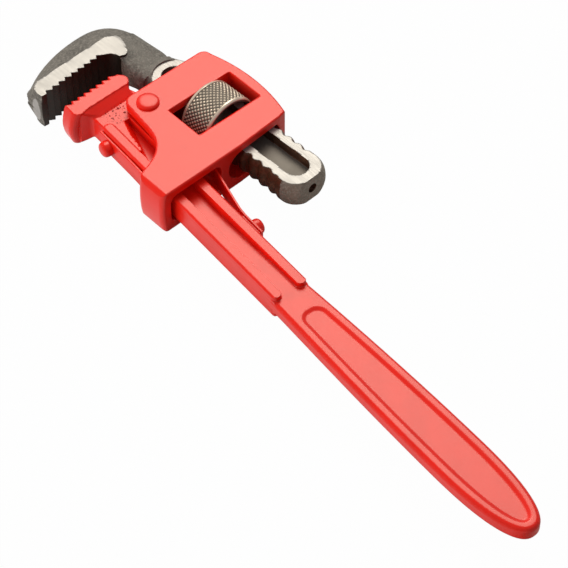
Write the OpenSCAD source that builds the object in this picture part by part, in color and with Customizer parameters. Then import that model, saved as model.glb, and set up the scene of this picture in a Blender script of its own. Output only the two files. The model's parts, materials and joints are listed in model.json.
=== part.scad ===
// Straight pipe wrench of the 350 mm pattern, with its jaws partly open.
// +X runs along the hook jaw's shank towards the grip, +Z is the axis of the
// pipe that is gripped, and the origin lies on that axis, midway between the
// two rows of teeth. All sizes are in millimetres.

/* [Jaws] */
// Opening between the tooth tips, as set
jaw_open = 11.5; // [9:0.5:16]
// Width of both jaws over their ground cheeks
jaw_w = 18.8; // [17:0.2:21]
// Depth of the teeth
tooth_depth = 1.8; // [1:0.1:2.2]
// Number of teeth on the hook jaw
hook_teeth = 9; // [6:1:9]
// Tooth pitch of the hook jaw
hook_pitch = 3.78; // [3.2:0.02:3.9]
// Number of teeth on the heel jaw
heel_teeth = 8; // [6:1:8]
// Tooth pitch of the heel jaw
heel_pitch = 3.57; // [3.2:0.01:3.7]

/* [Hook jaw shank] */
// Diameter over the thread
thread_d = 24.4; // [22:0.2:25]
// Pitch of the thread
thread_pitch = 6; // [4:0.5:7]
// Depth of the thread
thread_depth = 1.5; // [0.8:0.1:2]
// Thickness across the two milled flats
shank_t = 13; // [11:0.2:14]
// Length from the hook jaw's teeth to the nose of the shank
shank_len = 114.5; // [100:0.5:130]
// Width of the slot in each flat
slot_w = 11.6; // [8:0.2:13]
// Depth of the slot in each flat
slot_depth = 4.7; // [2:0.1:4.8]
// Lean of the shank in the frame, which its play there allows, in degrees
shank_lean = 2; // [0:0.1:2.4]

/* [Frame] */
// Thickness of the frame
frame_t = 23; // [21.5:0.1:25]
// Thickness of each side plate
plate_t = 4; // [3:0.1:4.2]
// Length of the frame along the shank
frame_len = 55.5; // [54:0.5:62]
// Window for the nut, along the shank
window_l = 20.3; // [18:0.1:22]
// Window for the nut, across the shank
window_w = 35.2; // [33:0.1:37]
// Distance from the pivot to the shank's axis
shank_rise = 24.5; // [24:0.1:27]
// Wall of the loop that passes round the handle
loop_wall = 5.6; // [4:0.1:7]

/* [Adjusting nut] */
// Outer diameter of the nut
nut_d = 29.2; // [28:0.1:30]
// Play of the nut between the window's ends
nut_play = 4; // [2:0.1:5]
// Width of the plain lip at each end of the nut
nut_lip = 1.1; // [0.5:0.1:2]

/* [Handle] */
// Length from the pivot to the end of the grip
handle_len = 266.7; // [230:0.1:300]
// Width of the bar behind the jaw
bar_w = 17.5; // [15:0.1:18]
// Thickness over the rails of the bar
rail_t = 12.4; // [11:0.1:14.6]
// Width of the channel between the rails
channel_w = 8; // [6:0.1:9]
// Greatest width of the grip
grip_w = 24; // [20:0.1:30]
// Thickness of the grip
grip_t = 7.2; // [6:0.1:11]
// Depth of the panel sunk in each face of the grip
panel_depth = 0.7; // [0.4:0.1:2]
// Rim round the panel
panel_rim = 3.8; // [3:0.1:6]

/* [Pivot and springs] */
// Diameter of the pivot rivet
pin_d = 7; // [5:0.1:8]
// Diameter of the pivot rivet's heads
pin_head_d = 10.3; // [9:0.1:12]
// Height of the pivot rivet's heads
pin_head_h = 1.8; // [1.2:0.1:3.5]
// Thickness of the leaf springs
leaf_t = 1; // [0.7:0.05:1.3]
// Gap between the front spring and the handle's edge
front_leaf_gap = 0.5; // [0.3:0.1:1.1]
// Gap between the rear spring and the handle's edge
rear_leaf_gap = 1.4; // [0.6:0.1:2]
// Width of the leaf springs
leaf_w = 9; // [8:0.1:12.5]
// Diameter of the spring rivets' heads
rivet_head_d = 7.2; // [6:0.1:9]
// Height of the spring rivets' heads
rivet_head_h = 4.1; // [2:0.1:5]

/* [Hidden] */
$fn = 72;

// Clearances
running_fit = 0.05;
seat_fit = 0.02;
seat_gap = 0.3;
slide_gap = 0.5;
nut_clear = 0.6;

// Jaws: the tooth rows lean a little, so that they open towards the throat
heel_x = jaw_open / 2;
hook_x = -jaw_open / 2;
heel_lean = 2.5;
hook_lean = 4;
heel_foot_y = -13.5;
hook_foot_y = -15.1;
hook_back_r = 4;
shank_start = 25.5;
flat_start = 18.2;
flat_r = 10.4;
slot_wall = 4;

// Pivot, shank and handle axes
pivot = [heel_x + 25.25, 12.9];
shank_y = pivot[1] + shank_rise;
handle_tilt = 5.1;
pivot_drop = 12.83;
handle_root = [pivot[0], pivot[1] - pivot_drop];

// Frame
frame_x0 = pivot[0] - 8.9;
frame_x1 = frame_x0 + frame_len;
cavity_t = frame_t - 2 * plate_t;
window_x = frame_x0 + 28.6;
passage_r = thread_d / 2 + slide_gap;
crown_r = 84;
loop_play = 1.8;
loop_y1 = bar_edge_y(frame_x1, -1) - loop_play;
loop_y0 = loop_y1 - loop_wall;
loop_bulge = 1.4;
loop_r = 3.6;
leaf_lift = seat_gap + leaf_t + corner_depth(leaf_w / 2);
web_t = 4.5;

// Nut, square to the shank, which the passage's far end holds up
nut_w = window_l - nut_play;
nut_x = window_x - window_l / 2 + 0.24 * nut_play + nut_w / 2;
nut_y = shank_y - (frame_x1 - nut_x) * tan(shank_lean);
nut_bore_r = thread_d / 2 + seat_gap;

// Window, whose roof just clears the nut, and the crown and web round it
window_y = nut_y + nut_d / 2 + nut_clear - window_w / 2;
crown_y = window_y + window_w / 2 + 5.4;
web_y0 = window_y - 20;

// Handle stations, measured along its axis from the foot of the pivot
rail_end = 118;
grip_start = rail_end - 8;
grip_wide = 0.83 * handle_len;
panel_start = rail_end + 10.7;
panel_wall = 2;
panel_end_r = 5;
channel_floor = 2;
channel_start = -3;
channel_full = 24;
channel_rise = 62;
ear_r = 7.6;
neck_t = rail_t - 0.8;
rail_edge_r = 1.3;

// Springs, measured as the handle is
front_leaf_v = bar_w / 2 + front_leaf_gap;
rear_leaf_v = bar_w / 2 + rear_leaf_gap;
front_rivet_u = 1.4;
rear_rivet_u = 77.5;
pad_len = 13;
pad_w = leaf_w - 1.6;
rivet_shank_d = 4;
rivet_hole_deep = 4;
rivet_head_side = 1.5;
pin_head_side = 0.3;

// Height of the handle's upper (side = 1) or lower (side = -1) edge at x
function bar_edge_y(x, side) =
    handle_root[1] - (x - handle_root[0]) * tan(handle_tilt)
    + side * bar_w / 2 / cos(handle_tilt);

// A point of the wrench, measured along and across the handle
function to_handle(p) = [
    (p[0] - handle_root[0]) * cos(handle_tilt)
        - (p[1] - handle_root[1]) * sin(handle_tilt),
    (p[0] - handle_root[0]) * sin(handle_tilt)
        + (p[1] - handle_root[1]) * cos(handle_tilt)];

// Points of a cubic curve from a to d, pulled towards b and c
function curve(a, b, c, d, n = 8) = [for (i = [0:n]) let (t = i / n, s = 1 - t)
    s * s * s * a + 3 * s * s * t * b + 3 * s * t * t * c + t * t * t * d];

// Points of an arc about c, from angle a0 to a1
function arc(c, r, a0, a1, n = 8) =
    [for (i = [0:n]) let (a = a0 + (a1 - a0) * i / n) c + r * [cos(a), sin(a)]];

// Half-width of the grip at station u: it swells to its widest place and
// closes in a full round end
function grip_half(u) = u < grip_wide
    ? bar_w / 2 + (grip_w - bar_w) / 2
        * sin(90 * (u - grip_start) / (grip_wide - grip_start))
    : grip_w / 2 * pow(max(0, 1 - pow((u - grip_wide)
        / (handle_len - grip_wide), 2.4)), 1 / 2.4);

// Sideways lean of the grip at station u
function grip_lean(u) = 2.4 * pow(max(0, u - rail_end)
    / (handle_len - rail_end), 0.8);

module on_handle() {
    translate([handle_root[0], handle_root[1], 0])
        rotate(-handle_tilt)
            children();
}

// Moves a shape drawn along +Z so that it runs along +X from x, about y
module along_x(x, y) {
    translate([x, y, 0])
        rotate([0, 90, 0])
            children();
}

// Places a shape measured along the shank from the nut's middle
module on_shank() {
    translate([nut_x, nut_y, 0])
        rotate(shank_lean)
            children();
}

module plate(points, thickness) {
    linear_extrude(height = thickness, center = true)
        polygon(points);
}

// Bar with half-round ends, from u0 to u1 along the handle
module round_bar(u0, u1, v, width, thickness) {
    r = width / 2;
    linear_extrude(height = thickness, center = true)
        union() {
            translate([u0 + r, v - r])
                square([u1 - u0 - width, width]);
            translate([u0 + r, v])
                circle(r);
            translate([u1 - r, v])
                circle(r);
        }
}

// Rivet head on the plane z = 0: a straight side of the given height, then a
// shoulder that rounds in to a nearly flat crown
module rivet_head(d, h, side) {
    rotate_extrude()
        polygon(concat([[0, 0], [d / 2, 0]],
            curve([d / 2, side], [d / 2, h * 0.9], [d * 0.38, h], [0, h])));
}

// ---- Handle with its heel jaw ----

// Cheek of the heel jaw: teeth, flat foot, back edge and rounded top corner
function heel_cheek() = let (
    top = heel_foot_y + heel_teeth * heel_pitch)
    concat(
        [[heel_x + 1.6, heel_foot_y - 0.4]],
        [for (i = [0:heel_teeth - 1], k = [0:1])
            let (y = heel_foot_y + heel_pitch * (i + (k == 0 ? 0 : 0.82)))
            [heel_x - (y + 1) * tan(heel_lean) + (k == 0 ? 0 : tooth_depth), y]],
        [[heel_x + 1, top + 0.3]],
        arc([heel_x + 5, top - 1.1], 3.8, 120, 20, 5),
        [[heel_x + 8.9, top - 6], [heel_x + 9.5, -5]],
        arc([heel_x + 5.6, -10.6], 3.9, 0, -100, 6));

// Neck from the heel jaw to the bar, with the ear that carries the pivot
module neck() {
    ear_top = pivot[1] + ear_r;
    bar_top = bar_edge_y(pivot[0] + 14, 1);
    bar_foot = bar_edge_y(heel_x + 12, -1);
    plate(concat(
        [[heel_x + 3, -9]],
        curve([heel_x + 8, -11.6], [heel_x + 9.6, -8], [heel_x + 9, bar_foot],
            [heel_x + 13.5, bar_edge_y(heel_x + 13.5, -1)]),
        [[pivot[0] + 16, bar_edge_y(pivot[0] + 16, -1)],
            [pivot[0] + 16, bar_edge_y(pivot[0] + 16, 1)]],
        curve([pivot[0] + 14, bar_top], [pivot[0] + 9.5, bar_top],
            [pivot[0] + 8.5, pivot[1] - 4], pivot + ear_r * [cos(-10), sin(-10)], 6),
        arc(pivot, ear_r, 0, 100, 10),
        [[heel_x + 9, 16.2], [heel_x + 3, 13]]), neck_t);
}

// Jaw block: ground cheeks, and a back that slopes down to the neck
module heel_jaw() {
    plate(heel_cheek(), jaw_w);
    hull() {
        plate([[heel_x + 6, -12.5], [heel_x + 9, -12.5],
            [heel_x + 8.7, 15.5], [heel_x + 6, 15.5]], jaw_w - 0.4);
        plate([[heel_x + 6, -10.5], [heel_x + 13, -4.5],
            [heel_x + 12.6, 14], [heel_x + 6, 15.5]], neck_t);
    }
}

// Outline of the grip, drawn in by inset all round
function grip_outline(inset) = let (
    n = 14,
    stations = concat(
        [for (i = [0:4]) grip_start + (grip_wide - grip_start) * i / 4],
        [for (i = [1:n]) grip_wide
            + (handle_len - inset - grip_wide) * sin(90 * i / n)]))
    concat(
        [for (u = stations) [u, grip_lean(u) + grip_side(u, inset)]],
        [for (i = [len(stations) - 1:-1:0])
            [stations[i], grip_lean(stations[i]) - grip_side(stations[i], inset)]]);

// Half-width of an outline that lies the given inset inside the grip's edge
function grip_side(u, inset) = max(0.01, u < grip_wide
    ? grip_half(u) - inset
    : (grip_w / 2 - inset) * pow(max(0, 1 - pow((u - grip_wide)
        / (handle_len - inset - grip_wide), 2.4)), 1 / 2.4));

// Grip with rounded sides: three outlines, widest at mid-thickness
module grip() {
    hull() {
        plate(grip_outline(0), grip_t * 0.3);
        plate(grip_outline(0.45), grip_t * 0.72);
        plate(grip_outline(1.7), grip_t);
    }
}

// Outline of the panel, drawn in from the grip's edge by the inset: it starts
// with rounded corners and follows the grip to its end
function panel_outline(inset) = let (
    first = panel_start + inset - panel_rim,
    last = handle_len - inset,
    n = 12,
    stations = concat(
        [for (i = [1:6]) first + panel_end_r * (1 - cos(15 * i))],
        [for (i = [1:4]) first + panel_end_r + (grip_wide - first - panel_end_r) * i / 4],
        [for (i = [1:n - 1]) grip_wide + (last - grip_wide) * sin(90 * i / n)]))
    concat(
        [for (u = stations) [u, grip_lean(u) + panel_side(u, first, inset)]],
        [[last, grip_lean(last)]],
        [for (i = [len(stations) - 1:-1:0]) let (u = stations[i])
            [u, grip_lean(u) - panel_side(u, first, inset)]]);

// Half-width of the panel, which starts narrower by its corners' radius
function panel_side(u, first, inset) = let (
    back = max(0, 1 - (u - first) / panel_end_r))
    grip_side(u, inset) - panel_end_r * (1 - sqrt(1 - back * back));

// Sunk panel with sloping walls, cut from the face on the given side
module panel_cut(side) {
    scale([1, 1, side])
        hull() {
            translate([0, 0, grip_t / 2])
                linear_extrude(height = 1)
                    polygon(panel_outline(panel_rim));
            translate([0, 0, grip_t / 2 - panel_depth])
                linear_extrude(height = 0.01)
                    polygon(panel_outline(panel_rim + panel_wall));
        }
}

// Two rails along the bar, with rounded outer edges
module rails() {
    v = channel_w / 2 + (bar_w - channel_w) / 4;
    intersection() {
        for (s = [-1, 1])
            round_bar(-8, rail_end, s * v, (bar_w - channel_w) / 2, rail_t);
        translate([-9, 0, 0])
            rotate([90, 0, 90])
                linear_extrude(height = rail_end + 10)
                    union() {
                        square([bar_w, rail_t - 2 * rail_edge_r], center = true);
                        square([bar_w - 2 * rail_edge_r, rail_t], center = true);
                        for (y = [-1, 1], z = [-1, 1])
                            translate([y * (bar_w / 2 - rail_edge_r),
                                    z * (rail_t / 2 - rail_edge_r)])
                                circle(rail_edge_r);
                    }
    }
}

// Channel between the rails: it opens from one side behind the jaw, is deep
// under the frame, and runs out at the rails' end
module channel_cut() {
    half = channel_w / 2;
    above = rail_t / 2 + 1;
    for (s = [-1, 1])
        scale([1, 1, s]) {
            translate([0, half, 0])
                rotate([90, 0, 0])
                    linear_extrude(height = channel_w)
                        polygon([[channel_full, channel_floor], [channel_rise, channel_floor],
                            [rail_end + 3, grip_t / 2], [rail_end + 3, above],
                            [channel_full, above]]);
            hull() {
                channel_end(channel_start, [[0, above], [half, above], [half, channel_floor]]);
                channel_end(channel_full, [[-half, above], [half, above],
                    [half, channel_floor], [-half, channel_floor]]);
            }
        }
}

// Thin slice of the channel at station u
module channel_end(u, points) {
    translate([u, 0, 0])
        rotate([90, 0, 90])
            linear_extrude(height = 0.01)
                polygon(points);
}

module bar() {
    linear_extrude(height = grip_t, center = true)
        polygon([[4, -bar_w / 2], [grip_start + 8, -bar_w / 2],
            [grip_start + 8, bar_w / 2], [4, bar_w / 2]]);
}

// Raised seat that holds a spring clear of the handle's edge
module spring_pad(u, v, side) {
    mirror([0, (1 - side) / 2, 0])
        translate([u - pad_len / 2, bar_w / 2 - 1, -pad_w / 2])
            cube([pad_len, v - bar_w / 2 + 1, pad_w]);
}

module handle() {
    color([0.78, 0.06, 0.04])
        difference() {
            union() {
                heel_jaw();
                neck();
                on_handle() {
                    bar();
                    rails();
                    grip();
                    spring_pad(front_rivet_u, front_leaf_v, -1);
                    spring_pad(rear_rivet_u, rear_leaf_v, 1);
                }
            }
            on_handle() {
                channel_cut();
                panel_cut(1);
                panel_cut(-1);
                rivet_hole(front_rivet_u, front_leaf_v, -1);
                rivet_hole(rear_rivet_u, rear_leaf_v, 1);
            }
            translate([pivot[0], pivot[1], 0])
                cylinder(h = rail_t + 2, d = pin_d + 2 * running_fit, center = true);
        }
}

// ---- Frame ----

function frame_outline() = let (
    crown_x = frame_x0 + 28.4,
    crown = [crown_x, crown_y - crown_r],
    left = asin((frame_x0 + 4.8 - crown_x) / crown_r),
    right = asin((frame_x1 - 2.6 - crown_x) / crown_r),
    notch_x = frame_x1 - 17.4,
    foot_r = 3,
    foot = [notch_x + 4.6, loop_y0 + foot_r],
    lobe_r = 5.3,
    lobe_y = pivot[1] - 2.5)
    concat(
        arc([frame_x0 + lobe_r, lobe_y], lobe_r, 180, 265, 6),
        curve([frame_x0 + 20.9, lobe_y - 7.4], [notch_x - 0.4, lobe_y - 10.2],
            [notch_x - 1.3, loop_y0 + 5.3], foot + foot_r * [cos(200), sin(200)], 12),
        arc(foot, foot_r, 215, 270, 4),
        arc([frame_x1 - 2.4, foot[1]], foot_r, 270, 350, 5),
        [[frame_x1, window_y - 9], [frame_x1 - 1.7, crown_y - 7.3]],
        arc(crown, crown_r, 90 - right, 90 - left, 16),
        arc([frame_x0 + 4.2, crown_y - 7.6], 4.2, 115, 180, 5));

module frame_body() {
    bulge_r = (frame_t * frame_t / 4 + loop_bulge * loop_bulge) / (2 * loop_bulge);
    intersection() {
        plate(frame_outline(), frame_t);
        along_x(frame_x0 - 1, loop_y0 + bulge_r)
            cylinder(h = frame_len + 4, r = bulge_r, $fn = 180);
    }
}

// Tunnel along the frame from x0 to x1, between y0 and y1, with corners of
// radius r, which at half the tunnel's thickness make its sides half-round
module tunnel(x0, x1, y0, y1, r) {
    half = cavity_t / 2;
    translate([x0, y0 + r, -half])
        cube([x1 - x0, y1 - y0 - 2 * r, cavity_t]);
    if (r < half)
        translate([x0, y0, r - half])
            cube([x1 - x0, y1 - y0, cavity_t - 2 * r]);
    for (y = [y0 + r, y1 - r], z = r < half ? [r - half, half - r] : [0])
        translate([x0, y, z])
            rotate([0, 90, 0])
                cylinder(h = x1 - x0, r = r);
}

// How far a tunnel's rounded side stands in at the height z
function corner_depth(z) = let (above = max(0, z - cavity_t / 2 + loop_r))
    loop_r - sqrt(loop_r * loop_r - above * above);

// Space for the shank: round on the far side, flat against the plates
module shank_tunnel(x0, x1) {
    intersection() {
        along_x(x0, shank_y)
            cylinder(h = x1 - x0, r = passage_r);
        translate([x0, shank_y - passage_r, -cavity_t / 2])
            cube([x1 - x0, 2 * passage_r, cavity_t]);
    }
}

module frame() {
    x0 = frame_x0 - 1;
    x1 = frame_x1 + 1;
    color([0.8, 0.07, 0.05])
        difference() {
            frame_body();
            tunnel(x0, x1, loop_y1, web_y0, loop_r);
            tunnel(x0, window_x, loop_y1, shank_y + cavity_t / 2, loop_r);
            tunnel(window_x, x1, web_y0 + web_t, shank_y + cavity_t / 2, cavity_t / 2);
            shank_tunnel(x0, x1);
            translate([window_x - window_l / 2, window_y - window_w / 2, -frame_t])
                cube([window_l, window_w, 2 * frame_t]);
            translate([pivot[0], pivot[1], 0])
                cylinder(h = frame_t + 2, d = pin_d + 2 * seat_fit, center = true);
        }
}

// ---- Hook jaw ----

// Bite side of the head, from the throat down the teeth to the tip, closed
// well outside the back
function hook_bite() = let (
    x = hook_x,
    top = hook_foot_y + hook_pitch * (hook_teeth - 1))
    concat(
        [for (i = [hook_teeth - 1:-1:0], k = [1:-1:0])
            let (y = hook_foot_y + hook_pitch * (i + (k == 0 ? 0 : 0.3)))
            [x - y * tan(hook_lean) - (k == 0 ? 0 : tooth_depth), y]],
        [[x + 0.8, hook_foot_y - 2.2], [x + 0.8, hook_foot_y - 20],
            [x - 40, hook_foot_y - 20], [x - 40, shank_y + 20],
            [x + 34, shank_y + 20], [x + 34, shank_y - 20],
            [x + 20, shank_y - 15], [x + 14, shank_y - 13.4]],
        curve([x + 10, shank_y - 13.2], [x + 5.5, shank_y - 13],
            [x + 0.6, shank_y - 13.4], [x - 1, top + 4], 6));

// Line of centres of the head's rounded back, from the tip round to the neck
function hook_back() = let (x = hook_x)
    concat(
        curve([x - 7.6, hook_foot_y + 0.6], [x - 16.5, -3], [x - 19.6, 11],
            [x - 19.6, 22], 7),
        curve([x - 19.6, 23], [x - 19.6, shank_y - 5], [x - 14.6, shank_y + 1.2],
            [x - 2, shank_y + 1.8], 6),
        [[x + 12, shank_y + 2.4]]);

// Ground cheek: a band beside the teeth that ends in a round bulb
module hook_cheek() {
    x = hook_x;
    intersection() {
        plate(hook_bite(), jaw_w);
        union() {
            plate([[x + 4, hook_foot_y - 2.2], [x + 4, 23], [x - 9.3, 25.5],
                [x - 7.9, hook_foot_y + 1.8], [x - 6.9, hook_foot_y - 0.6],
                [x - 4.6, hook_foot_y - 2.3], [x - 1.6, hook_foot_y - 2.7]], jaw_w);
            translate([x - 4.6, 25.8, 0])
                cylinder(h = jaw_w, r = 4.8, center = true, $fn = 60);
            translate([x + 2.2, 26, 0])
                cylinder(h = jaw_w, r = 3.2, center = true, $fn = 60);
            plate([[x - 4.6, 30.6], [x + 3, 29.1], [x + 3, 24], [x - 4.6, 22]], jaw_w);
        }
    }
}

// Forged head: crowned from the cheeks down to its rounded back
module hook_head() {
    x = hook_x;
    intersection() {
        plate(hook_bite(), jaw_w);
        hull() {
            plate([[x + 1.5, hook_foot_y - 2.2], [x + 4, 28], [x - 4, 30],
                [x - 8.6, 26], [x - 7.2, hook_foot_y + 1.6],
                [x - 4.4, hook_foot_y - 1.8], [x - 1.6, hook_foot_y - 2.5]],
                jaw_w - 0.8);
            for (p = hook_back())
                translate([p[0], p[1], 0])
                    sphere(hook_back_r, $fn = 24);
        }
    }
}

// Neck: a rounded bar that thins towards the shank and widens to meet it
module hook_neck() {
    x = hook_x;
    thick = cavity_t / 2 + 0.7;
    thin = cavity_t / 2 - seat_gap;
    intersection() {
        plate(hook_bite(), jaw_w);
        union() {
            hull() {
                along_x(x + 1, shank_y - 2.2)
                    cylinder(h = 2, r = thick, $fn = 32);
                neck_end(thin);
                for (z = [-1, 1])
                    translate([0, 0, z * (thick - 3)])
                        along_x(x - 1, shank_y - 9.8)
                            cylinder(h = 2, r = 3, $fn = 32);
            }
            hull() {
                neck_end(thin);
                intersection() {
                    on_shank()
                        along_x(x + shank_start + 0.5 - nut_x, 0)
                            cylinder(h = 1, d = thread_d - 0.8, $fn = 32);
                    translate([x, shank_y - thread_d, -thin])
                        cube([60, 2 * thread_d, 2 * thin]);
                }
            }
        }
    }
}

// Thin end of the neck, a rounded bar on the line of the shank
module neck_end(half) {
    on_shank()
        for (z = [-1, 1], y = [-7.2, 3.9])
            translate([hook_x + 19.2 - nut_x, y, z * (half - 4)])
                rotate([0, 90, 0])
                    cylinder(h = 1, r = 4, $fn = 32);
}

// Profile of the threaded shank along its axis: rounded crests, then the
// nose, which narrows in a curve to a small flat end
function shank_profile(length) = let (
    r = thread_d / 2,
    nose = 9,
    crests = floor((length - nose - 2) / thread_pitch),
    steps = 6)
    concat(
        [[0, 0], [r, 0]],
        [for (i = [0:crests * steps])
            [r - thread_depth * (1 - cos(360 * i / steps)) / 2,
                2 + i * thread_pitch / steps]],
        curve([r, length - nose], [r, length - nose / 2], [r - 1.6, length - 0.6],
            [r - 4.4, length], 8),
        [[0, length]]);

module shank() {
    on_shank()
        difference() {
            along_x(hook_x + shank_start - nut_x, 0)
                rotate_extrude()
                    polygon(shank_profile(shank_len - shank_start));
            along_x(hook_x + shank_len - 5 - nut_x, 0)
                cylinder(h = 6, d = 4);
        }
}

// Milled flats, which start in a half round, and the slots along them
module shank_cuts() {
    flat_x = hook_x + flat_start + flat_r - nut_x;
    slot_x = hook_x + flat_start + slot_wall + slot_w / 2 - nut_x;
    slot_end = hook_x + shank_len - slot_wall - slot_w / 2 - nut_x;
    tall = thread_d;
    for (s = [-1, 1])
        on_shank()
            scale([1, 1, s]) {
                translate([flat_x, 0, shank_t / 2])
                    cylinder(h = tall, r = flat_r);
                translate([flat_x, -thread_d, shank_t / 2])
                    cube([shank_len, 2 * thread_d, tall]);
                translate([0, 0, shank_t / 2 - slot_depth]) {
                    translate([slot_x, 0, 0])
                        cylinder(h = tall, d = slot_w);
                    translate([slot_end, 0, 0])
                        cylinder(h = tall, d = slot_w);
                    translate([slot_x, -slot_w / 2, 0])
                        cube([slot_end - slot_x, slot_w, tall]);
                }
            }
}

module hook_jaw() {
    color([0.45, 0.43, 0.4])
        difference() {
            union() {
                hook_head();
                hook_cheek();
                hook_neck();
                shank();
            }
            shank_cuts();
        }
}

// ---- Nut, rivets and springs ----

module adjusting_nut() {
    r = nut_d / 2;
    color([0.36, 0.35, 0.34])
        on_shank()
            along_x(-nut_w / 2, 0)
                rotate_extrude()
                    polygon([[nut_bore_r, 0], [r - nut_lip, 0], [r, nut_lip],
                        [r, nut_w - nut_lip], [r - nut_lip, nut_w], [nut_bore_r, nut_w]]);
}

module pivot_rivet() {
    color([0.8, 0.07, 0.05])
        translate([pivot[0], pivot[1], 0]) {
            cylinder(h = frame_t, d = pin_d, center = true);
            for (s = [0, 1])
                mirror([0, 0, s])
                    translate([0, 0, frame_t / 2])
                        rivet_head(pin_head_d, pin_head_h, pin_head_side);
        }
}

// Leaf spring of one thickness that follows the line of its inner face
module leaf(line, side) {
    outer = [for (p = line) p + [0, side * leaf_t]];
    back = [for (i = [len(line) - 1:-1:0]) line[i]];
    linear_extrude(height = leaf_w, center = true)
        polygon(concat(outer, back));
}

// Line of a leaf's inner face: flat on its seat from u0, bent at u1 over a
// short curve, and straight from there to its tip
function leaf_line(u0, u1, v, tip) = let (
    reach = 4,
    bend = [u1, v],
    flat = [sign(u1 - u0), 0],
    way = (tip - bend) / norm(tip - bend))
    concat(
        [[u0, v]],
        curve(bend - reach * flat, bend - 0.4 * reach * flat,
            bend + 0.4 * reach * way, bend + reach * way, 5),
        [tip]);

// Riveted down at the neck, it bears outwards on the frame's loop
module front_spring() {
    v = -front_leaf_v;
    tip = to_handle([frame_x1 - 8, loop_y1 + leaf_lift]);
    color([0.8, 0.07, 0.05])
        on_handle()
            difference() {
                leaf(leaf_line(front_rivet_u - pad_len / 2, front_rivet_u + 17, v, tip), -1);
                rivet_hole(front_rivet_u, front_leaf_v, -1);
            }
}

// Riveted down behind the frame, it bears upwards on the frame's web
module rear_spring() {
    tip = to_handle([frame_x1 - 4, web_y0 - leaf_lift]);
    color([0.8, 0.07, 0.05])
        on_handle()
            difference() {
                leaf(leaf_line(rear_rivet_u + pad_len / 2, rear_rivet_u - 8, rear_leaf_v, tip), 1);
                rivet_hole(rear_rivet_u, rear_leaf_v, 1);
            }
}

// Hole across a leaf whose inner face lies at v, and on into the bar's edge
module rivet_hole(u, v, side) {
    translate([u, side * (v - rivet_hole_deep), 0])
        rotate([side * -90, 0, 0])
            cylinder(h = rivet_hole_deep + 4, d = rivet_shank_d + 2 * seat_fit);
}

// Domed rivet, seated on the outer face of its leaf
module spring_rivet(u, v, side) {
    color([0.8, 0.07, 0.05])
        on_handle()
            translate([u, side * (v - rivet_hole_deep), 0])
                rotate([side * -90, 0, 0]) {
                    translate([0, 0, seat_fit])
                        cylinder(h = rivet_hole_deep + leaf_t, d = rivet_shank_d);
                    translate([0, 0, rivet_hole_deep + leaf_t])
                        rivet_head(rivet_head_d, rivet_head_h, rivet_head_side);
                }
}

module front_spring_rivet() {
    spring_rivet(front_rivet_u, front_leaf_v, -1);
}

module rear_spring_rivet() {
    spring_rivet(rear_rivet_u, rear_leaf_v, 1);
}

handle();
frame();
hook_jaw();
adjusting_nut();
pivot_rivet();
front_spring();
rear_spring();
front_spring_rivet();
rear_spring_rivet();
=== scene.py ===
"""Looks of a straight pipe wrench: enamelled castings, a forged hook jaw and a knurled nut.

The castings and the forging are level surfaces: each is the place where a distance,
worked out in millimetres from outlines and rounded joins, is zero. The nut, the springs
and the rivets are profiles carried round an axis or along a line.
"""

import json
import math

import bpy
import numpy as np
from bpy.props import FloatProperty, FloatVectorProperty, IntProperty, PointerProperty
from bpy.types import Operator, Panel, PropertyGroup
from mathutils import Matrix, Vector


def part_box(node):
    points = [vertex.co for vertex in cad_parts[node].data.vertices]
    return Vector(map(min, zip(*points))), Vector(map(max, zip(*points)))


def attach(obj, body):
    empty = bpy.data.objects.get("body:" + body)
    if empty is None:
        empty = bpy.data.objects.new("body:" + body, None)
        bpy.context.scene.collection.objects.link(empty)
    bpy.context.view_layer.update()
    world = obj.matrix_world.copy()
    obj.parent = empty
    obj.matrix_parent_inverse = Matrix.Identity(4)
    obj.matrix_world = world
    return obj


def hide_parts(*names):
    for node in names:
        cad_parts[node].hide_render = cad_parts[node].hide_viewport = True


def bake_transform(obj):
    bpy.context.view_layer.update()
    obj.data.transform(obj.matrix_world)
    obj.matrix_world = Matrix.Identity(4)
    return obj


bl_info = {
    "name": "Pipe wrench",
    "version": (1, 0, 0),
    "blender": (4, 5, 0),
    "location": "View3D > Sidebar > Wrench",
    "description": "Builds the pieces and finishes of a straight pipe wrench",
    "category": "Add Mesh",
}

MM = 1000.0
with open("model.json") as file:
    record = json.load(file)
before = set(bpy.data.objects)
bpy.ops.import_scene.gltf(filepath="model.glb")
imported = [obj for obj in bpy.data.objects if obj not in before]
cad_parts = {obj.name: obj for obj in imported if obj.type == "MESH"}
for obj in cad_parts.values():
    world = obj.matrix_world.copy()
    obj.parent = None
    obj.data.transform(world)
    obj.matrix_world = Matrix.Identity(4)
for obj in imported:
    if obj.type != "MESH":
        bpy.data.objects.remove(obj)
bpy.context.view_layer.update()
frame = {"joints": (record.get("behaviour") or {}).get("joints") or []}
joints = {joint["name"]: joint for joint in frame["joints"]}


def extent(node):
    """Lowest and highest corners of a node, in millimetres."""
    return [np.array(corner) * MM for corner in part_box(node)]


# ---- Places that the frame gives, in millimetres ----

PIVOT = np.array(joints["frame_rock"]["pos_m"][:2]) * MM
NUT = np.array(joints["nut_spin"]["pos_m"][:2]) * MM
SLIDE = np.array(joints["jaw_slide"]["axis"][:2])
FRAME_LOW, FRAME_HIGH = extent("frame")
NUT_R = extent("adjusting_nut")[1][2]
JAW_HALF = extent("handle")[1][2]
FLOOR = extent("adjusting_nut")[0][2]

# ---- Sizes that the pieces share, in millimetres ----

# Handle: u runs along it from its root, and v across it.
HANDLE_TILT = math.radians(5.1)
HANDLE_ROOT = PIVOT - np.array([0, 12.83])
HANDLE_END = 266.7
BAR_HALF = 8.75
RAIL_HALF = 6.2
RAIL_END = 118.0
NECK_HALF = 5.8
GRIP_HALF = 3.6
GRIP_START = RAIL_END - 8
GRIP_WIDE = 0.83 * HANDLE_END
GRIP_WIDEST = 12.0
PANEL_WALL = 1.8


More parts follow.
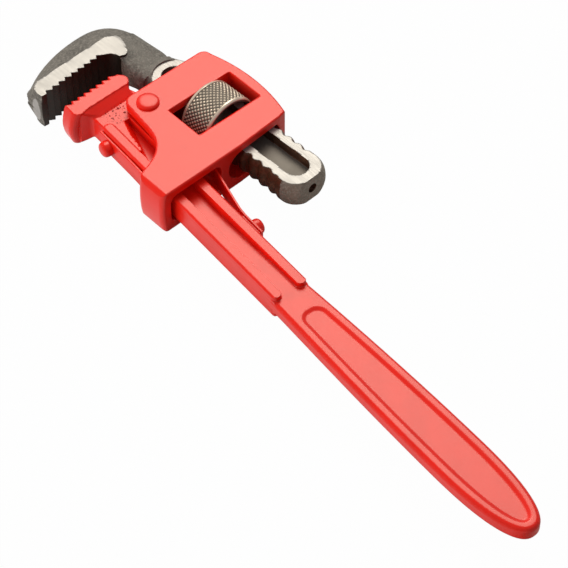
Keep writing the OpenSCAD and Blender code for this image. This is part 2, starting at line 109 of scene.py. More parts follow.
def bar_edge(x, side):
    """The y of the bar's edge at x: the upper edge for side 1, the lower for side -1."""
    middle = HANDLE_ROOT[1] - (x - HANDLE_ROOT[0]) * math.tan(HANDLE_TILT)
    return middle + side * BAR_HALF / math.cos(HANDLE_TILT)


# Jaws: the x at which the bites of the heel and of the hook stand.
HEEL_X = PIVOT[0] - 25.25
HOOK_X = -HEEL_X

# Shank: s runs along it from the nut's middle, and t across it.
SHANK_Y = PIVOT[1] + 24.5
SHANK_HALF = 6.5
SHANK_START = HOOK_X - NUT[0]
SHANK_TIP = SHANK_START + 114.5
THREAD_START = SHANK_START + 25.5
THREAD_R = 12.2
NOSE = 9.0
FLAT_ROUND = 10.4
FLAT_START = SHANK_START + 18.4 + FLAT_ROUND
SLOT_HALF = 5.8
CENTRE_R = 2.3

# Frame: its length, the cavity in it, the loop round the bar and the nut's window.
FRAME_END = FRAME_LOW[0] + 55.5
CAVITY_HALF = 7.5
LOOP_CORNER = 3.6
LOOP_PLAY = 1.8
LOOP_Y = bar_edge(FRAME_END, -1) - LOOP_PLAY
WINDOW_X = FRAME_LOW[0] + 28.6
WINDOW_HALF = (10.15, 17.6)
WINDOW_Y = NUT[1] + NUT_R + 0.6 - WINDOW_HALF[1]
WEB_Y = WINDOW_Y - 20
PIN_R = 3.5

# Springs and their rivets, by their places along and across the handle.
LEAF_HALF = 4.5
LEAF_THICK = 1.0
SEAT_HALF = 6.5
FRONT_LEAF = BAR_HALF + 0.5
REAR_LEAF = BAR_HALF + 1.4
FRONT_RIVET = 1.4
REAR_RIVET = 77.5

# Camera: its place in metres, and the way that it looks from.
EYE = (0.62694, -0.45309, 0.76813)
AZIMUTH = math.radians(47.49)
ELEVATION = math.radians(49.33)


# ---- Sizes and colours that a user would change ----


class WrenchJaws(PropertyGroup):
    """Teeth of both jaws and thread of the shank."""

    hook_teeth: IntProperty(
        name="Hook teeth", description="Number of teeth on the hook jaw", default=9, min=4, max=12)
    hook_pitch: FloatProperty(
        name="Hook pitch", description="Tooth pitch of the hook jaw",
        default=0.00378, unit="LENGTH")
    heel_teeth: IntProperty(
        name="Heel teeth", description="Number of teeth on the heel jaw", default=8, min=4, max=12)
    heel_pitch: FloatProperty(
        name="Heel pitch", description="Tooth pitch of the heel jaw",
        default=0.00357, unit="LENGTH")
    tooth_depth: FloatProperty(
        name="Tooth depth", description="Depth of the teeth", default=0.0018, unit="LENGTH")
    thread_pitch: FloatProperty(
        name="Thread pitch", description="Pitch of the shank's thread",
        default=0.006, unit="LENGTH")
    thread_depth: FloatProperty(
        name="Thread depth", description="Depth of the shank's thread",
        default=0.0011, unit="LENGTH")


class WrenchCastings(PropertyGroup):
    """Rounding of the castings, the grip's panel and the channels."""

    edge: FloatProperty(
        name="Edge radius", description="Radius of the castings' outer edges",
        default=0.0008, unit="LENGTH")
    panel_depth: FloatProperty(
        name="Panel depth", description="Depth of the panel in the grip",
        default=0.0007, unit="LENGTH")
    panel_rim: FloatProperty(
        name="Panel rim", description="Width of the rim round the panel",
        default=0.0038, unit="LENGTH")
    channel_width: FloatProperty(
        name="Channel width", description="Width between the bar's rails",
        default=0.008, unit="LENGTH")


class WrenchNut(PropertyGroup):
    """Knurl and lips of the adjusting nut."""

    teeth: IntProperty(
        name="Knurl teeth", description="Diamonds of the knurl round the nut",
        default=42, min=20, max=80)
    depth: FloatProperty(
        name="Knurl depth", description="Depth of the knurl", default=0.0006, unit="LENGTH")
    lip: FloatProperty(
        name="Lip", description="Width of the plain lip at each end",
        default=0.0014, unit="LENGTH")


class WrenchFinish(PropertyGroup):
    """Colours of the enamel and of the bare steel."""

    enamel: FloatVectorProperty(
        name="Enamel", description="Colour of the enamel", subtype="COLOR",
        default=(0.94, 0.016, 0.006), min=0, max=1)
    forged: FloatVectorProperty(
        name="Forged steel", description="Colour of the forged skin", subtype="COLOR",
        default=(0.170, 0.155, 0.145), min=0, max=1)
    ground: FloatVectorProperty(
        name="Ground steel", description="Colour of the ground flats", subtype="COLOR",
        default=(0.41, 0.385, 0.38), min=0, max=1)
    thread: FloatVectorProperty(
        name="Thread", description="Colour of the oiled thread", subtype="COLOR",
        default=(0.104, 0.047, 0.027), min=0, max=1)
    nut: FloatVectorProperty(
        name="Nut steel", description="Colour of the knurled nut", subtype="COLOR",
        default=(0.86, 0.72, 0.60), min=0, max=1)


class WrenchStage(PropertyGroup):
    """Floor and light round the wrench."""

    floor: FloatVectorProperty(
        name="Floor", description="Colour of the floor", subtype="COLOR",
        default=(0.5, 0.5, 0.5), min=0, max=1)
    sky: FloatProperty(
        name="Sky", description="Strength of the even light", default=0.26, min=0, max=4)
    softbox: FloatProperty(
        name="Softbox", description="Power of the large lamp behind the wrench",
        default=15.6, min=0, max=500, unit="POWER")
    key: FloatProperty(
        name="Key", description="Power of the lamp in front of the wrench",
        default=15.5, min=0, max=500, unit="POWER")
    warmth: FloatVectorProperty(
        name="Warmth", description="Colour of the lamps", subtype="COLOR",
        default=(1.0, 0.965, 0.82), min=0, max=1)
    lens: FloatProperty(
        name="Lens", description="Focal length of the camera in millimetres",
        default=155.28, min=10, max=400)


# ---- Shapes: distances in millimetres, negative inside ----


def meet(a, b, radius=0.0):
    """What lies inside both shapes, with the edge where they cross rounded off: near the
    edge the distance is that to a circle of the radius, tangent to both."""
    corner = np.hypot(np.maximum(a + radius, 0), np.maximum(b + radius, 0))
    return np.minimum(np.maximum(a, b), -radius) + corner


def join(a, b, radius=0.0):
    """What lies inside either shape, with a hollow fillet of the radius between them."""
    return -meet(-a, -b, radius)


def cut(a, b, radius=0.0):
    """What lies inside the first shape and outside the second, with a rounded edge."""
    return meet(a, -b, radius)


def ramp(value, low, high, start=0.0, end=1.0):
    """Goes evenly from start to end as the value goes from low to high."""
    return start + (end - start) * np.clip((value - low) / (high - low), 0, 1)


def blend(a, b, width):
    """Either shape, melted together over the width: the smaller distance, less a
    parabola of the difference."""
    share = ramp(b - a, -width, width)
    return b + (a - b) * share - width * share * (1 - share)


def held(value, width):
    """The value held between 0 and 1, with soft bends of the width at both."""
    return blend(-blend(-value, 0, width), 1, width)


def outline(x, y, points):
    """Distance to a closed outline: the least distance to its sides, negative where a
    line towards +x crosses the outline an odd number of times. A side of no length, where
    two points coincide, is passed over."""
    x, y = np.broadcast_arrays(x, y)
    nearest = np.full(x.shape, np.inf)
    inside = np.zeros(x.shape, bool)
    for (x0, y0), (x1, y1) in zip(points, np.roll(points, -1, axis=0)):
        run, rise = x1 - x0, y1 - y0
        length2 = run * run + rise * rise
        if not length2:
            continue
        along, up = x - x0, y - y0
        share = np.clip((along * run + up * rise) / length2, 0, 1)
        nearest = np.minimum(nearest, (along - share * run) ** 2 + (up - share * rise) ** 2)
        if rise:
            inside ^= ((up < 0) != (y < y1)) & (along < up * (run / rise))
    return np.where(inside, -1, 1) * np.sqrt(nearest)


def box2(x, y, x0, x1, y0, y1, radius=0.0):
    """Distance to a rectangle with rounded corners."""
    across = np.abs(x - (x0 + x1) / 2) - (x1 - x0) / 2
    up = np.abs(y - (y0 + y1) / 2) - (y1 - y0) / 2
    return meet(across, up, radius)


def plate(shape, z, half, radius):
    """An outline's distance given a thickness, with rounded edges on both faces."""
    return meet(shape, np.abs(z) - half, radius)


def curve(a, b, c, d, count=10):
    """Points of a cubic curve from a to d, pulled towards b and c."""
    t = np.linspace(0, 1, count + 1)[:, None]
    a, b, c, d = (np.array(p, float) for p in (a, b, c, d))
    s = 1 - t
    return s**3 * a + 3 * s * s * t * b + 3 * s * t * t * c + t**3 * d


def arc(centre, radius, start, end, count=8):
    """Points of an arc about the centre, between two angles in degrees."""
    turn = np.radians(np.linspace(start, end, count + 1))
    return np.array(centre) + radius * np.stack([np.cos(turn), np.sin(turn)], 1)


def spread(low, high, step):
    """Evenly spaced values from low to high, about a step apart."""
    return np.linspace(low, high, max(2, round((high - low) / step) + 1))


def steepest(distance, points):
    """Distance at the points, and the direction in which it grows fastest: the unit
    vector of its growth over a small step along each axis."""
    here = distance(*points.T)
    slope = np.stack([distance(*(points + step).T) - here for step in np.eye(3) * 1e-3], 1)
    return here, slope / (np.linalg.norm(slope, axis=1, keepdims=True) + 1e-12)


def crossed_edges(distance, rows, value, axis):
    """The grid's edges along one axis that cross the surface, as the four cells round
    each, in the order that turns their face outwards, and the surface's nearest point
    and normal there. The crossing is where a straight line between the two values is
    zero, moved along the normal by the distance left."""
    second, third = (axis + 1) % 3, (axis + 2) % 3
    inside = value < 0
    crossed = np.roll(inside, -1, axis) != inside
    crossed[(slice(None),) * axis + (-1,)] = False
    lower = np.argwhere(crossed)
    upper = lower.copy()
    upper[:, axis] += 1
    a, b = value[tuple(lower.T)], value[tuple(upper.T)]
    point = np.stack([rows[k][lower[:, k]] for k in range(3)], 1)
    point[:, axis] += a / (a - b) * (rows[axis][upper[:, axis]] - point[:, axis])
    here, normal = steepest(distance, point)
    ring = []
    for p, q in ((-1, -1), (0, -1), (0, 0), (-1, 0)):
        cell = lower.copy()
        cell[:, second] += p
        cell[:, third] += q
        ring.append(np.ravel_multi_index(cell.T, [len(row) - 1 for row in rows], mode="clip"))
    ring = np.stack(ring, 1)
    ring[a >= 0] = ring[a >= 0][:, ::-1]
    return ring, point - here[:, None] * normal, normal


def level_surface(distance, xs, ys, zs):
    """Mesh of the surface where the distance is zero, on the grid of the three rows of
    values. Each grid edge that crosses the surface gives a tangent plane there. Each cell
    gets the point that lies nearest to the planes of its edges, in the sense of least
    squares, held to the cell and drawn slightly to the mean of the crossings. Each
    crossed edge gives a four-sided face between the cells round it. The points' normals
    are the distance's steepest directions."""
    rows = (xs, ys, zs)
    cells = tuple(len(row) - 1 for row in rows)
    value = distance(xs[:, None, None], ys[None, :, None], zs[None, None, :])
    value = np.broadcast_to(value, [len(row) for row in rows])
    edges = [crossed_edges(distance, rows, value, axis) for axis in range(3)]
    rings, crossings, normals = (np.concatenate(part) for part in zip(*edges))
    used, faces = np.unique(rings, return_inverse=True)
    faces = faces.reshape(rings.shape)
    owner, each = faces.ravel(), np.repeat(np.arange(len(rings)), 4)
    tally = np.bincount(owner, minlength=len(used)).astype(float)

    def total(values):
        """Sum of the edges' values over the edges of each cell."""
        return np.bincount(owner, values[each], len(used))

    mean = np.stack([total(crossings[:, k]) for k in range(3)], 1) / tally[:, None]
    plane = np.sum(normals * crossings, 1)
    pull = 0.02
    matrix = np.empty((len(used), 3, 3))
    right = np.empty((len(used), 3))
    for j in range(3):
        right[:, j] = total(normals[:, j] * plane)
        for k in range(3):
            matrix[:, j, k] = total(normals[:, j] * normals[:, k])
    right -= np.einsum("njk,nk->nj", matrix, mean)
    matrix += np.eye(3) * (pull * tally)[:, None, None]
    corner = mean + np.linalg.solve(matrix, right[..., None])[..., 0]
    place = np.stack(np.unravel_index(used, cells), 1)
    low = np.stack([rows[k][place[:, k]] for k in range(3)], 1)
    high = np.stack([rows[k][place[:, k] + 1] for k in range(3)], 1)
    corner = np.clip(corner, low, high)
    return corner, faces, steepest(distance, corner)[1]


def lattice(rows, columns, closed_rows=False):
    """Faces between neighbouring rows and columns of a grid. The columns close on
    themselves, and so do the rows where closed_rows is true."""
    last = rows if closed_rows else rows - 1
    row, column = np.meshgrid(np.arange(last), np.arange(columns), indexing="ij")
    after, beside = (row + 1) % rows, (column + 1) % columns
    corners = (row * columns + column, row * columns + beside,
               after * columns + beside, after * columns + column)
    return np.stack([corner.ravel() for corner in corners], 1)


def turned(profile, sides, swell=None, closed=False):
    """Surface of a profile of (along, radius) turned about the first axis, as points of
    (along, across, up). A swell adds to the radius from the station and the angle. The
    profile is closed on itself, or its ends lie on the axis and close as poles."""
    turn = np.linspace(0, 2 * math.pi, sides, endpoint=False)
    along, radius = (np.broadcast_to(row[:, None], (len(profile), sides)) for row in profile.T)
    if swell is not None:
        radius = radius + swell(along, turn[None, :])
    points = np.stack([along, radius * np.cos(turn), radius * np.sin(turn)], 2)
    return points.reshape(-1, 3), lattice(len(profile), sides, closed)


def to_handle(x, y):
    """A point of the wrench, measured along and across the handle."""
    c, s = math.cos(HANDLE_TILT), math.sin(HANDLE_TILT)
    x, y = x - HANDLE_ROOT[0], y - HANDLE_ROOT[1]
    return x * c - y * s, x * s + y * c


def from_handle(u, v):
    """The point of the wrench that lies u along and v across the handle."""
    c, s = math.cos(HANDLE_TILT), math.sin(HANDLE_TILT)
    return HANDLE_ROOT[0] + u * c + v * s, HANDLE_ROOT[1] - u * s + v * c


def to_shank(x, y):
    """A point of the wrench, measured along and across the shank from the nut."""
    x, y = x - NUT[0], y - NUT[1]
    return x * SLIDE[0] + y * SLIDE[1], y * SLIDE[0] - x * SLIDE[1]


def from_shank(s, t):
    """The point of the wrench that lies s along and t across the shank."""
    return NUT[0] + s * SLIDE[0] - t * SLIDE[1], NUT[1] + s * SLIDE[1] + t * SLIDE[0]


# ---- Meshes and materials ----


def face_values(mesh, name):
    """Centre or normal of each face, one row for each."""
    values = np.empty(len(mesh.polygons) * 3)
    mesh.polygons.foreach_get(name, values)
    return values.reshape(-1, 3)


def add_piece(name, body, points, faces, materials, crease=42.0, choose=None,
              normals=None, bend=None):
    """Makes a mesh of the points, in millimetres, that rides on the body and stands for
    the node of the same name. Edges sharper than the crease, in degrees, stay sharp.

    choose picks each face's material from its centre and its normal. Where the points
    have normals of their own, each face takes those that lie near its own normal. A
    piece given a bend has its place baked into its mesh and rides on no body; the bend's
    body and places are not used."""
    mesh = bpy.data.meshes.new(name)
    low, high = extent(name)
    mesh.from_pydata(np.clip(points, low, high) / MM, [], faces)
    mesh.validate()
    for finish in materials:
        mesh.materials.append(finish)
    if choose is not None:
        index = choose(face_values(mesh, "center") * MM, face_values(mesh, "normal"))
        mesh.polygons.foreach_set("material_index", index.astype(np.int32))
    mesh.shade_smooth()
    if normals is None:
        mesh.set_sharp_from_angle(angle=math.radians(crease))
    else:
        corner = np.empty(len(mesh.loops), np.int32)
        mesh.loops.foreach_get("vertex_index", corner)
        flat = np.repeat(face_values(mesh, "normal"), 4, axis=0)
        own = normals[corner]
        near = np.sum(flat * own, 1, keepdims=True) > math.cos(math.radians(crease))
        mesh.normals_split_custom_set(np.where(near, own, flat))
    piece = bpy.data.objects.new(name + "_finished", mesh)
    bpy.context.scene.collection.objects.link(piece)
    if bend is None:
        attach(piece, body)
    else:
        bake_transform(piece)
    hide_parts(name)
    return piece


class Signal:
    """A value in a node tree. Each operator adds the Math node that works it out."""

    def __init__(self, nodes, socket):
        self.nodes, self.socket = nodes, socket

    def __add__(self, other):
        return self.nodes.maths("ADD", self, other)

    def __sub__(self, other):
        return self.nodes.maths("SUBTRACT", self, other)

    def __rsub__(self, other):
        return self.nodes.maths("SUBTRACT", other, self)

    def __mul__(self, other):
        return self.nodes.maths("MULTIPLY", self, other)

    __radd__ = __add__
    __rmul__ = __mul__


class Nodes:
    """A node tree that is added to by expressions on its signals."""

    def __init__(self, tree):
        self.tree = tree

    def feed(self, socket, value):
        """Links a signal to a socket, or sets the socket to a plain value."""
        if isinstance(value, Signal):
            self.tree.links.new(value.socket, socket)
        elif isinstance(value, (int, float)) or len(value) == len(socket.default_value):
            socket.default_value = value
        else:
            socket.default_value = (*value, 1)

    def node(self, kind, settings=None, inputs=None, output=0):
        """Adds a node of any type, with its settings first and then its inputs."""
        node = self.tree.nodes.new(kind)
        for key, value in (settings or {}).items():
            setattr(node, key, value)
        for key, value in (inputs or {}).items():
            self.feed(node.inputs[key], value)
        return Signal(self, node.outputs[output])

    def maths(self, operation, *values):
        return self.node("ShaderNodeMath", {"operation": operation}, dict(enumerate(values)))

    def white_behind(self, plain, white, output, camera, mirrored):
        """Feeds the output with the plain signal mixed with white: by one share where the
        camera sees it, and by the other where gloss and glass show it."""
        seen, gloss, glass = (self.node("ShaderNodeLightPath", output=f"Is {ray} Ray")
                              for ray in ("Camera", "Glossy", "Transmission"))
        share = seen * camera + (gloss + glass) * mirrored
        both = self.node("ShaderNodeMixShader", inputs={0: share, 1: plain, 2: white})
        self.feed(self.tree.nodes[output].inputs["Surface"], both)


class Shader(Nodes):
    """A material with one Principled shader, whose plain values are set by name."""

    def __init__(self, name, **plain):
        self.material = bpy.data.materials.new(name)
        self.material.use_nodes = True
        super().__init__(self.material.node_tree)
        self.surface = self.tree.nodes["Principled BSDF"]
        for key, value in plain.items():
            self.set(key.replace("_", " "), value)
        self.place = self.node("ShaderNodeTexCoord", output="Object")

    def set(self, name, value):
        """Feeds a socket of the Principled shader."""
        self.feed(self.surface.inputs[name], value)

    def noise(self, size, detail=3.0, roughness=0.5, place=None):
        """Noise whose lumps are about the size, in metres."""
        inputs = {"Vector": place or self.place, "Scale": 1 / size,
                  "Detail": detail, "Roughness": roughness}
        return self.node("ShaderNodeTexNoise", inputs=inputs)

    def rise(self, value, low, high, start=0.0, end=1.0):
        """From start to end as the value goes from low to high, with soft ends."""
        inputs = {"Value": value, "From Min": low, "From Max": high,
                  "To Min": start, "To Max": end}
        return self.node("ShaderNodeMapRange", {"interpolation_type": "SMOOTHSTEP"}, inputs)

    def mix(self, share, first, second):
        """First colour to second colour by the share."""
        return self.node("ShaderNodeMix", {"data_type": "RGBA"},
                         {0: share, 6: first, 7: second}, output=2)

    def axis(self, name):
        """One coordinate of the place."""
        return self.node("ShaderNodeSeparateXYZ", inputs={0: self.place}, output=name)

    def stretched(self, scale):
        """The place, scaled along each axis."""
        inputs = {"Vector": self.place, "Scale": scale}
        return self.node("ShaderNodeMapping", inputs=inputs)

    def bump(self, height, depth):
        """Bumps the surface by the height, whose 0 to 1 is the depth in metres."""
        inputs = {"Height": height, "Distance": depth, "Strength": 1.0}
        self.set("Normal", self.node("ShaderNodeBump", inputs=inputs))


def scaled(colour, share):
    """A colour made paler or darker by the share, kept within 1."""
    return tuple(min(1, share * value) for value in colour)


def enamel():
    """Glossy enamel over a casting: an even colour, a clear coat, a faint flow in the
    gloss and, between the jaw and the pivot and no higher than the neck's upper face,
    dark casting pits that the coat doesn't fill."""
    shader = Shader("enamel finish", Coat_Weight=1.0, Coat_Roughness=0.28, Coat_IOR=1.42,
                    Specular_IOR_Level=0.03)
    colour = tuple(bpy.context.scene.wrench_finish.enamel)
    mottle = shader.rise(shader.noise(0.012, 4), 0.35, 0.7)
    shader.set("Roughness", shader.rise(shader.noise(0.004, 3), 0.3, 0.7, 0.36, 0.48))
    x, y, z = (shader.axis(name) for name in "XYZ")
    front, rear, face = ((place / MM) for place in (PIVOT[0] - 14, PIVOT[0] - 1, NECK_HALF + 0.2))
    neck = shader.rise(x, front, front + 0.003) * shader.rise(x, rear, rear - 0.005)
    neck = neck * shader.rise(z, face + 0.0004, face) * shader.rise(y, -0.006, -0.001)
    flow = shader.noise(0.0030, 2) * 0.05
    pits = shader.rise(shader.noise(0.0009, 2, 0.5), 0.58, 0.66) * neck
    shader.bump(flow - pits, 0.00025)
    painted = shader.mix(mottle * 0.5, colour, scaled(colour, 0.86))
    shader.set("Base Color", shader.mix(pits * 0.7, painted, (0.05, 0.004, 0.003)))
    shader.set("Coat Weight", 1 - pits)
    return shader.material


def forged_steel():
    """Forged skin: grey-brown scale, mottled and slightly pitted, and worn paler towards
    the shank's end."""
    shader = Shader("forged finish", Metallic=0.12, Specular_IOR_Level=0.22)
    colour = tuple(bpy.context.scene.wrench_finish.forged)
    broad = shader.rise(shader.noise(0.009, 5, 0.6), 0.3, 0.7)
    fine = shader.rise(shader.noise(0.0012, 3, 0.7), 0.40, 0.75)
    scale = shader.mix(broad, scaled(colour, 0.6), colour)
    scale = shader.mix(fine * 0.7, scale, scaled(colour, 2.2))
    worn = shader.rise(shader.axis("X"), 0.096, 0.114) * 0.8
    bare = shader.mix(fine * 0.8, (0.35, 0.29, 0.235), (0.56, 0.49, 0.42))
    shader.set("Base Color", shader.mix(worn, scale, bare))
    shader.set("Roughness", shader.rise(fine, 0, 1, 0.48, 0.6))
    shader.bump(fine * 0.8 + shader.noise(0.004, 2), 0.00018)
    return shader.material


def ground_steel():
    """Flats ground bright, with fine scratches along the wheel's path."""
    shader = Shader("ground finish", Metallic=0.4)
    colour = tuple(bpy.context.scene.wrench_finish.ground)
    lines = shader.noise(0.0006, 4, 0.7, shader.stretched((0.06, 1.0, 1.0)))
    cloud = shader.rise(shader.noise(0.007, 3), 0.4, 0.75)
    shader.set("Base Color", shader.mix(cloud * 0.5, colour, scaled(colour, 0.8)))
    shader.set("Roughness", shader.rise(lines, 0.3, 0.7, 0.36, 0.48))
    shader.bump(lines, 0.00002)
    return shader.material


def oiled_steel():
    """The shank's thread, stained in patches, and the bite of the head nearly black: partly the
    dark oiled steel of the teeth, partly painted shade over the jaw's throat.
    """
    shader = Shader("oiled finish", Metallic=0.5, Roughness=0.4)
    colour = tuple(bpy.context.scene.wrench_finish.thread)
    stain = shader.rise(shader.noise(0.003, 5, 0.65), 0.45, 0.75)
    # Nearly black below an x of about 11 mm: the teeth's dark oil, and painted shade over the
    # throat.
    bite = shader.rise(shader.axis("X"), 0.014, 0.008)
    stained = shader.mix(stain, colour, scaled(colour, 2.2))
    shader.set("Base Color", shader.mix(bite * 0.9, stained, (0.012, 0.0105, 0.0075)))
    shader.set("Roughness", shader.rise(stain, 0, 1, 0.36, 0.5))
    shader.bump(shader.noise(0.0012, 3), 0.00006)
    return shader.material


def milled_steel():
    """Milled floor of the shank's slots: an even warm grey."""
    shader = Shader("milled finish", Metallic=0.3, Roughness=0.55)
    cloud = shader.rise(shader.noise(0.006, 4), 0.35, 0.7)
    shader.set("Base Color", shader.mix(cloud, (0.195, 0.168, 0.148), (0.16, 0.136, 0.118)))
    shader.bump(shader.noise(0.0008, 3), 0.00004)
    return shader.material


def knurled_steel():
    """Knurled nut: grey steel painted lighter on the knurl's points and far darker in its grooves
    and bore, a painted highlight and painted shade of the relief; its points are also smoother.
    """
    shader = Shader("knurled finish", Metallic=0.45)
    colour = tuple(bpy.context.scene.wrench_finish.nut)
    points = shader.node("ShaderNodeAttribute", {"attribute_name": "knurl"}, output="Fac")
    cloud = shader.rise(shader.noise(0.004, 3), 0.3, 0.7, 0.8, 1.0)
    # Painted light: grooves go down to an eighth of the steel's colour as painted shade, points
    # stay full as painted highlight.
    relief_light_and_shade = shader.rise(points, 0.15, 0.6)
    shader.set("Base Color", shader.mix(relief_light_and_shade * cloud, scaled(colour, 0.12), colour))
    shader.set("Roughness", shader.rise(points, 0, 1, 0.5, 0.28))
    return shader.material


def material(name, maker):
    """The named material, made the first time that it is asked for."""
    return bpy.data.materials.get(name) or maker()


# ---- Handle ----


def heel_cheek(jaws):
    """Outline of the heel jaw's cheek: teeth with steep lower sides, the foot, the back
    edge and the rounded top corner."""
    pitch, depth = jaws.heel_pitch * MM, jaws.tooth_depth * MM
    foot, lean, tip_share = -13.5, math.tan(math.radians(2.5)), 0.82
    top = foot + jaws.heel_teeth * pitch
    root = foot + pitch * np.arange(jaws.heel_teeth)
    tip = root + tip_share * pitch
    teeth = np.stack([np.stack([HEEL_X - (root + 1) * lean, root], 1),
                      np.stack([HEEL_X - (tip + 1) * lean + depth, tip], 1)], 1)
    return np.concatenate([
        [[HEEL_X + 3.2, foot - 0.35]], teeth.reshape(-1, 2), [[HEEL_X + 1, top + 0.3]],
        arc([HEEL_X + 5, top - 1.1], 3.8, 120, 20, 5),
        [[HEEL_X + 8.6, top - 6], [HEEL_X + 8.8, -7.5]],
        arc([HEEL_X + 6.3, -11.1], 3.2, 15, -100, 7)])


def neck_outline():
    """Outline of the neck between the heel jaw and the bar, with the pivot's ear."""
    ear, start, end = 7.6, HEEL_X + 13.5, PIVOT[0] + 16
    x, top = PIVOT[0], bar_edge(PIVOT[0] + 14, 1)
    return np.concatenate([
        [[HEEL_X + 3, -9]],
        curve([HEEL_X + 8, -11.6], [HEEL_X + 9.6, -8],
              [HEEL_X + 9, bar_edge(HEEL_X + 12, -1)], [start, bar_edge(start, -1)]),
        [[end, bar_edge(end, -1)], [end, bar_edge(end, 1)]],
        curve([x + 14, top], [x + 9.5, top], [x + 8.5, PIVOT[1] - 4],
              arc(PIVOT, ear, -10, -10, 0)[0]),
        arc(PIVOT, ear, 0, 100, 12),
        [[HEEL_X + 9, 16.2], [HEEL_X + 3, 13]]])


def grip_side(u, inset=0.0):
    """Half-width of the grip less the inset: a quarter sine wave up to its widest place,
    then a power curve, fuller than an ellipse, round the end."""
    power = 2.4
    swell = np.sin(math.pi / 2 * (u - GRIP_START) / (GRIP_WIDE - GRIP_START))
    share = ramp(u, GRIP_WIDE, HANDLE_END - inset)
    return np.where(u < GRIP_WIDE, BAR_HALF + (GRIP_WIDEST - BAR_HALF) * swell - inset,
                    (GRIP_WIDEST - inset) * (1 - share**power) ** (1 / power))


def grip_lean(u):
    """How far the grip's middle stands off the bar's line, by a power of the length."""
    most, power = 2.4, 0.8
    return most * ramp(u, RAIL_END, HANDLE_END) ** power


def round_end(start, end, count):
    """Stations from start to end that crowd together towards the end."""
    return start + (end - start) * np.sin(np.linspace(0, math.pi / 2, count))


def both_sides(u, half):
    """Outline with the half-width on both sides of the grip's middle line."""
    upper = np.stack([u, grip_lean(u) + half], 1)
    lower = np.stack([u, grip_lean(u) - half], 1)
    return np.concatenate([upper, lower[::-1]])


def grip_outline():
    """Outline of the grip from behind the rails to its round end."""
    u = np.concatenate([np.linspace(GRIP_START, GRIP_WIDE, 14)[:-1],
                        round_end(GRIP_WIDE, HANDLE_END - 0.01, 24)])
    return both_sides(u, grip_side(u))


def panel_outline(rim):
    """Outline of the sunk panel: the grip's own, drawn in by the rim, with a start whose
    corners are quarter circles."""
    corner, start = 5.0, RAIL_END + 10.7
    u = np.concatenate([start + 0.01 + corner - round_end(0, corner, 9)[::-1],
                        np.linspace(start + corner, GRIP_WIDE, 12)[1:],
                        round_end(GRIP_WIDE, HANDLE_END - rim - 0.01, 20)[1:]])
    back = ramp(u, start + corner, start)
    return both_sides(u, grip_side(u, rim) - corner * (1 - np.sqrt(1 - back**2)))


def handle_distance(castings, jaws):
    """Distance to the handle, measured along and across its own axis."""
    edge, depth = castings.edge * MM, castings.panel_depth * MM
    channel = castings.channel_width * MM / 2
    rail = (BAR_HALF - channel) / 2
    cheek, neck, grip = heel_cheek(jaws), neck_outline(), grip_outline()
    panel = panel_outline(castings.panel_rim * MM)
    slope_back = np.array([[6, -12.5], [9, -12.5], [13.2, -4.5], [12.8, 14.5], [6, 15.5]])
    slope_back += [HEEL_X, 0]
    bulge, foot_y, foot_reach = 2.2, -10, 3.3
    rail_start, web_start = -5.5, 4.0
    # The channel's mouth, where it is full, where its floor begins to rise, and its end.
    mouth, full, rise, channel_end = -3.0, 24.0, 62.0, RAIL_END + 3
    floor, above = 2.0, RAIL_HALF + 1

    def channel_space(u, v, z):
        """Channel between the rails. Its floor is level, then rises to the grip. Towards
        the jaw a slanting plane closes it, from the lower rail to the upper rail's foot."""
        up = np.abs(z)
        bed = ramp(u, rise, channel_end, floor, GRIP_HALF + 0.4)
        share = ramp(u, mouth, full)
        drop = above - floor
        across = (v - channel * (1 - 2 * share)) * drop + (up - floor) * channel
        slant = -across / math.hypot(channel, drop)
        sides = np.maximum(v - channel, -v - channel * share)
        groove = meet(meet(sides, bed - up, 0.2), slant, 0.3)
        return np.maximum(groove, np.maximum(u - channel_end, mouth - u))

    def rails_and_web(u, v, z):
        """Two rails with rounded outer edges, and the thinner web between them."""
        up, side = np.abs(z), np.abs(v)
        ends = np.maximum(np.maximum(u - RAIL_END + rail, rail_start + rail - u), 0)
        walls = np.hypot(ends, side - channel - rail) - rail
        section = meet(side - BAR_HALF, up - RAIL_HALF, 1.3)
        rails = meet(np.maximum(walls, section), up - RAIL_HALF, edge)
        web = np.maximum(np.maximum(side - BAR_HALF, up - GRIP_HALF),
                         np.maximum(web_start - u, u - RAIL_END))
        return rails, web

    def seat(u, v, z, rivet, top):
        """Raised seat of a spring, at the rivet, on the side that top's sign gives."""
        foot = meet(np.abs(u - rivet) - SEAT_HALF, np.abs(z) - LEAF_HALF + 0.8, 0.5)
        return meet(foot, np.where(top > 0, v - top, top - v), 0.1)

    def heel_draft(x, y, z):
        """Draws the foot out to a bulge at mid-thickness, a parabola of the height, and its
        back in towards the lower cheek."""
        out = bulge * (1 - (z / JAW_HALF) ** 2)
        foot = y + out * ramp(y, foot_y, foot_y - foot_reach - out)
        back = ramp(x, HEEL_X + 3, HEEL_X + 9) * ramp(y, 2, -6)
        return x + back * (1 - z / JAW_HALF), foot

    def distance(u, v, z):
        x, y = from_handle(u, v)
        up = np.abs(z)
        sunk = depth * held(-outline(u, v, panel) / PANEL_WALL, 0.25)
        face = (up - GRIP_HALF + sunk) / math.hypot(1, depth / PANEL_WALL)
        rails, web = rails_and_web(u, v, z)
        shape = join(rails, np.minimum(web, meet(outline(u, v, grip), face, 2.0)), 0.4)
        shape = join(shape, plate(outline(x, y, neck), z, NECK_HALF, 0.9), 0.5)
        jaw = outline(*heel_draft(x, y, z), cheek)
        slope = 0.84 * (up - JAW_HALF + 0.4) + 0.54 * np.maximum(jaw, 0)
        shape = join(shape, meet(outline(x, y, slope_back), slope, 0.6), 1.0)
        shape = join(shape, plate(jaw, z, JAW_HALF, 0.35), 0.1)
        for rivet, top in ((FRONT_RIVET, -FRONT_LEAF), (REAR_RIVET, REAR_LEAF)):
            pad = np.maximum(seat(u, v, z, rivet, top), -np.sign(top) * v)
            shape = join(shape, pad, 0.3)
        return cut(shape, channel_space(u, v, z), 0.3)

    return distance


# ---- Frame ----


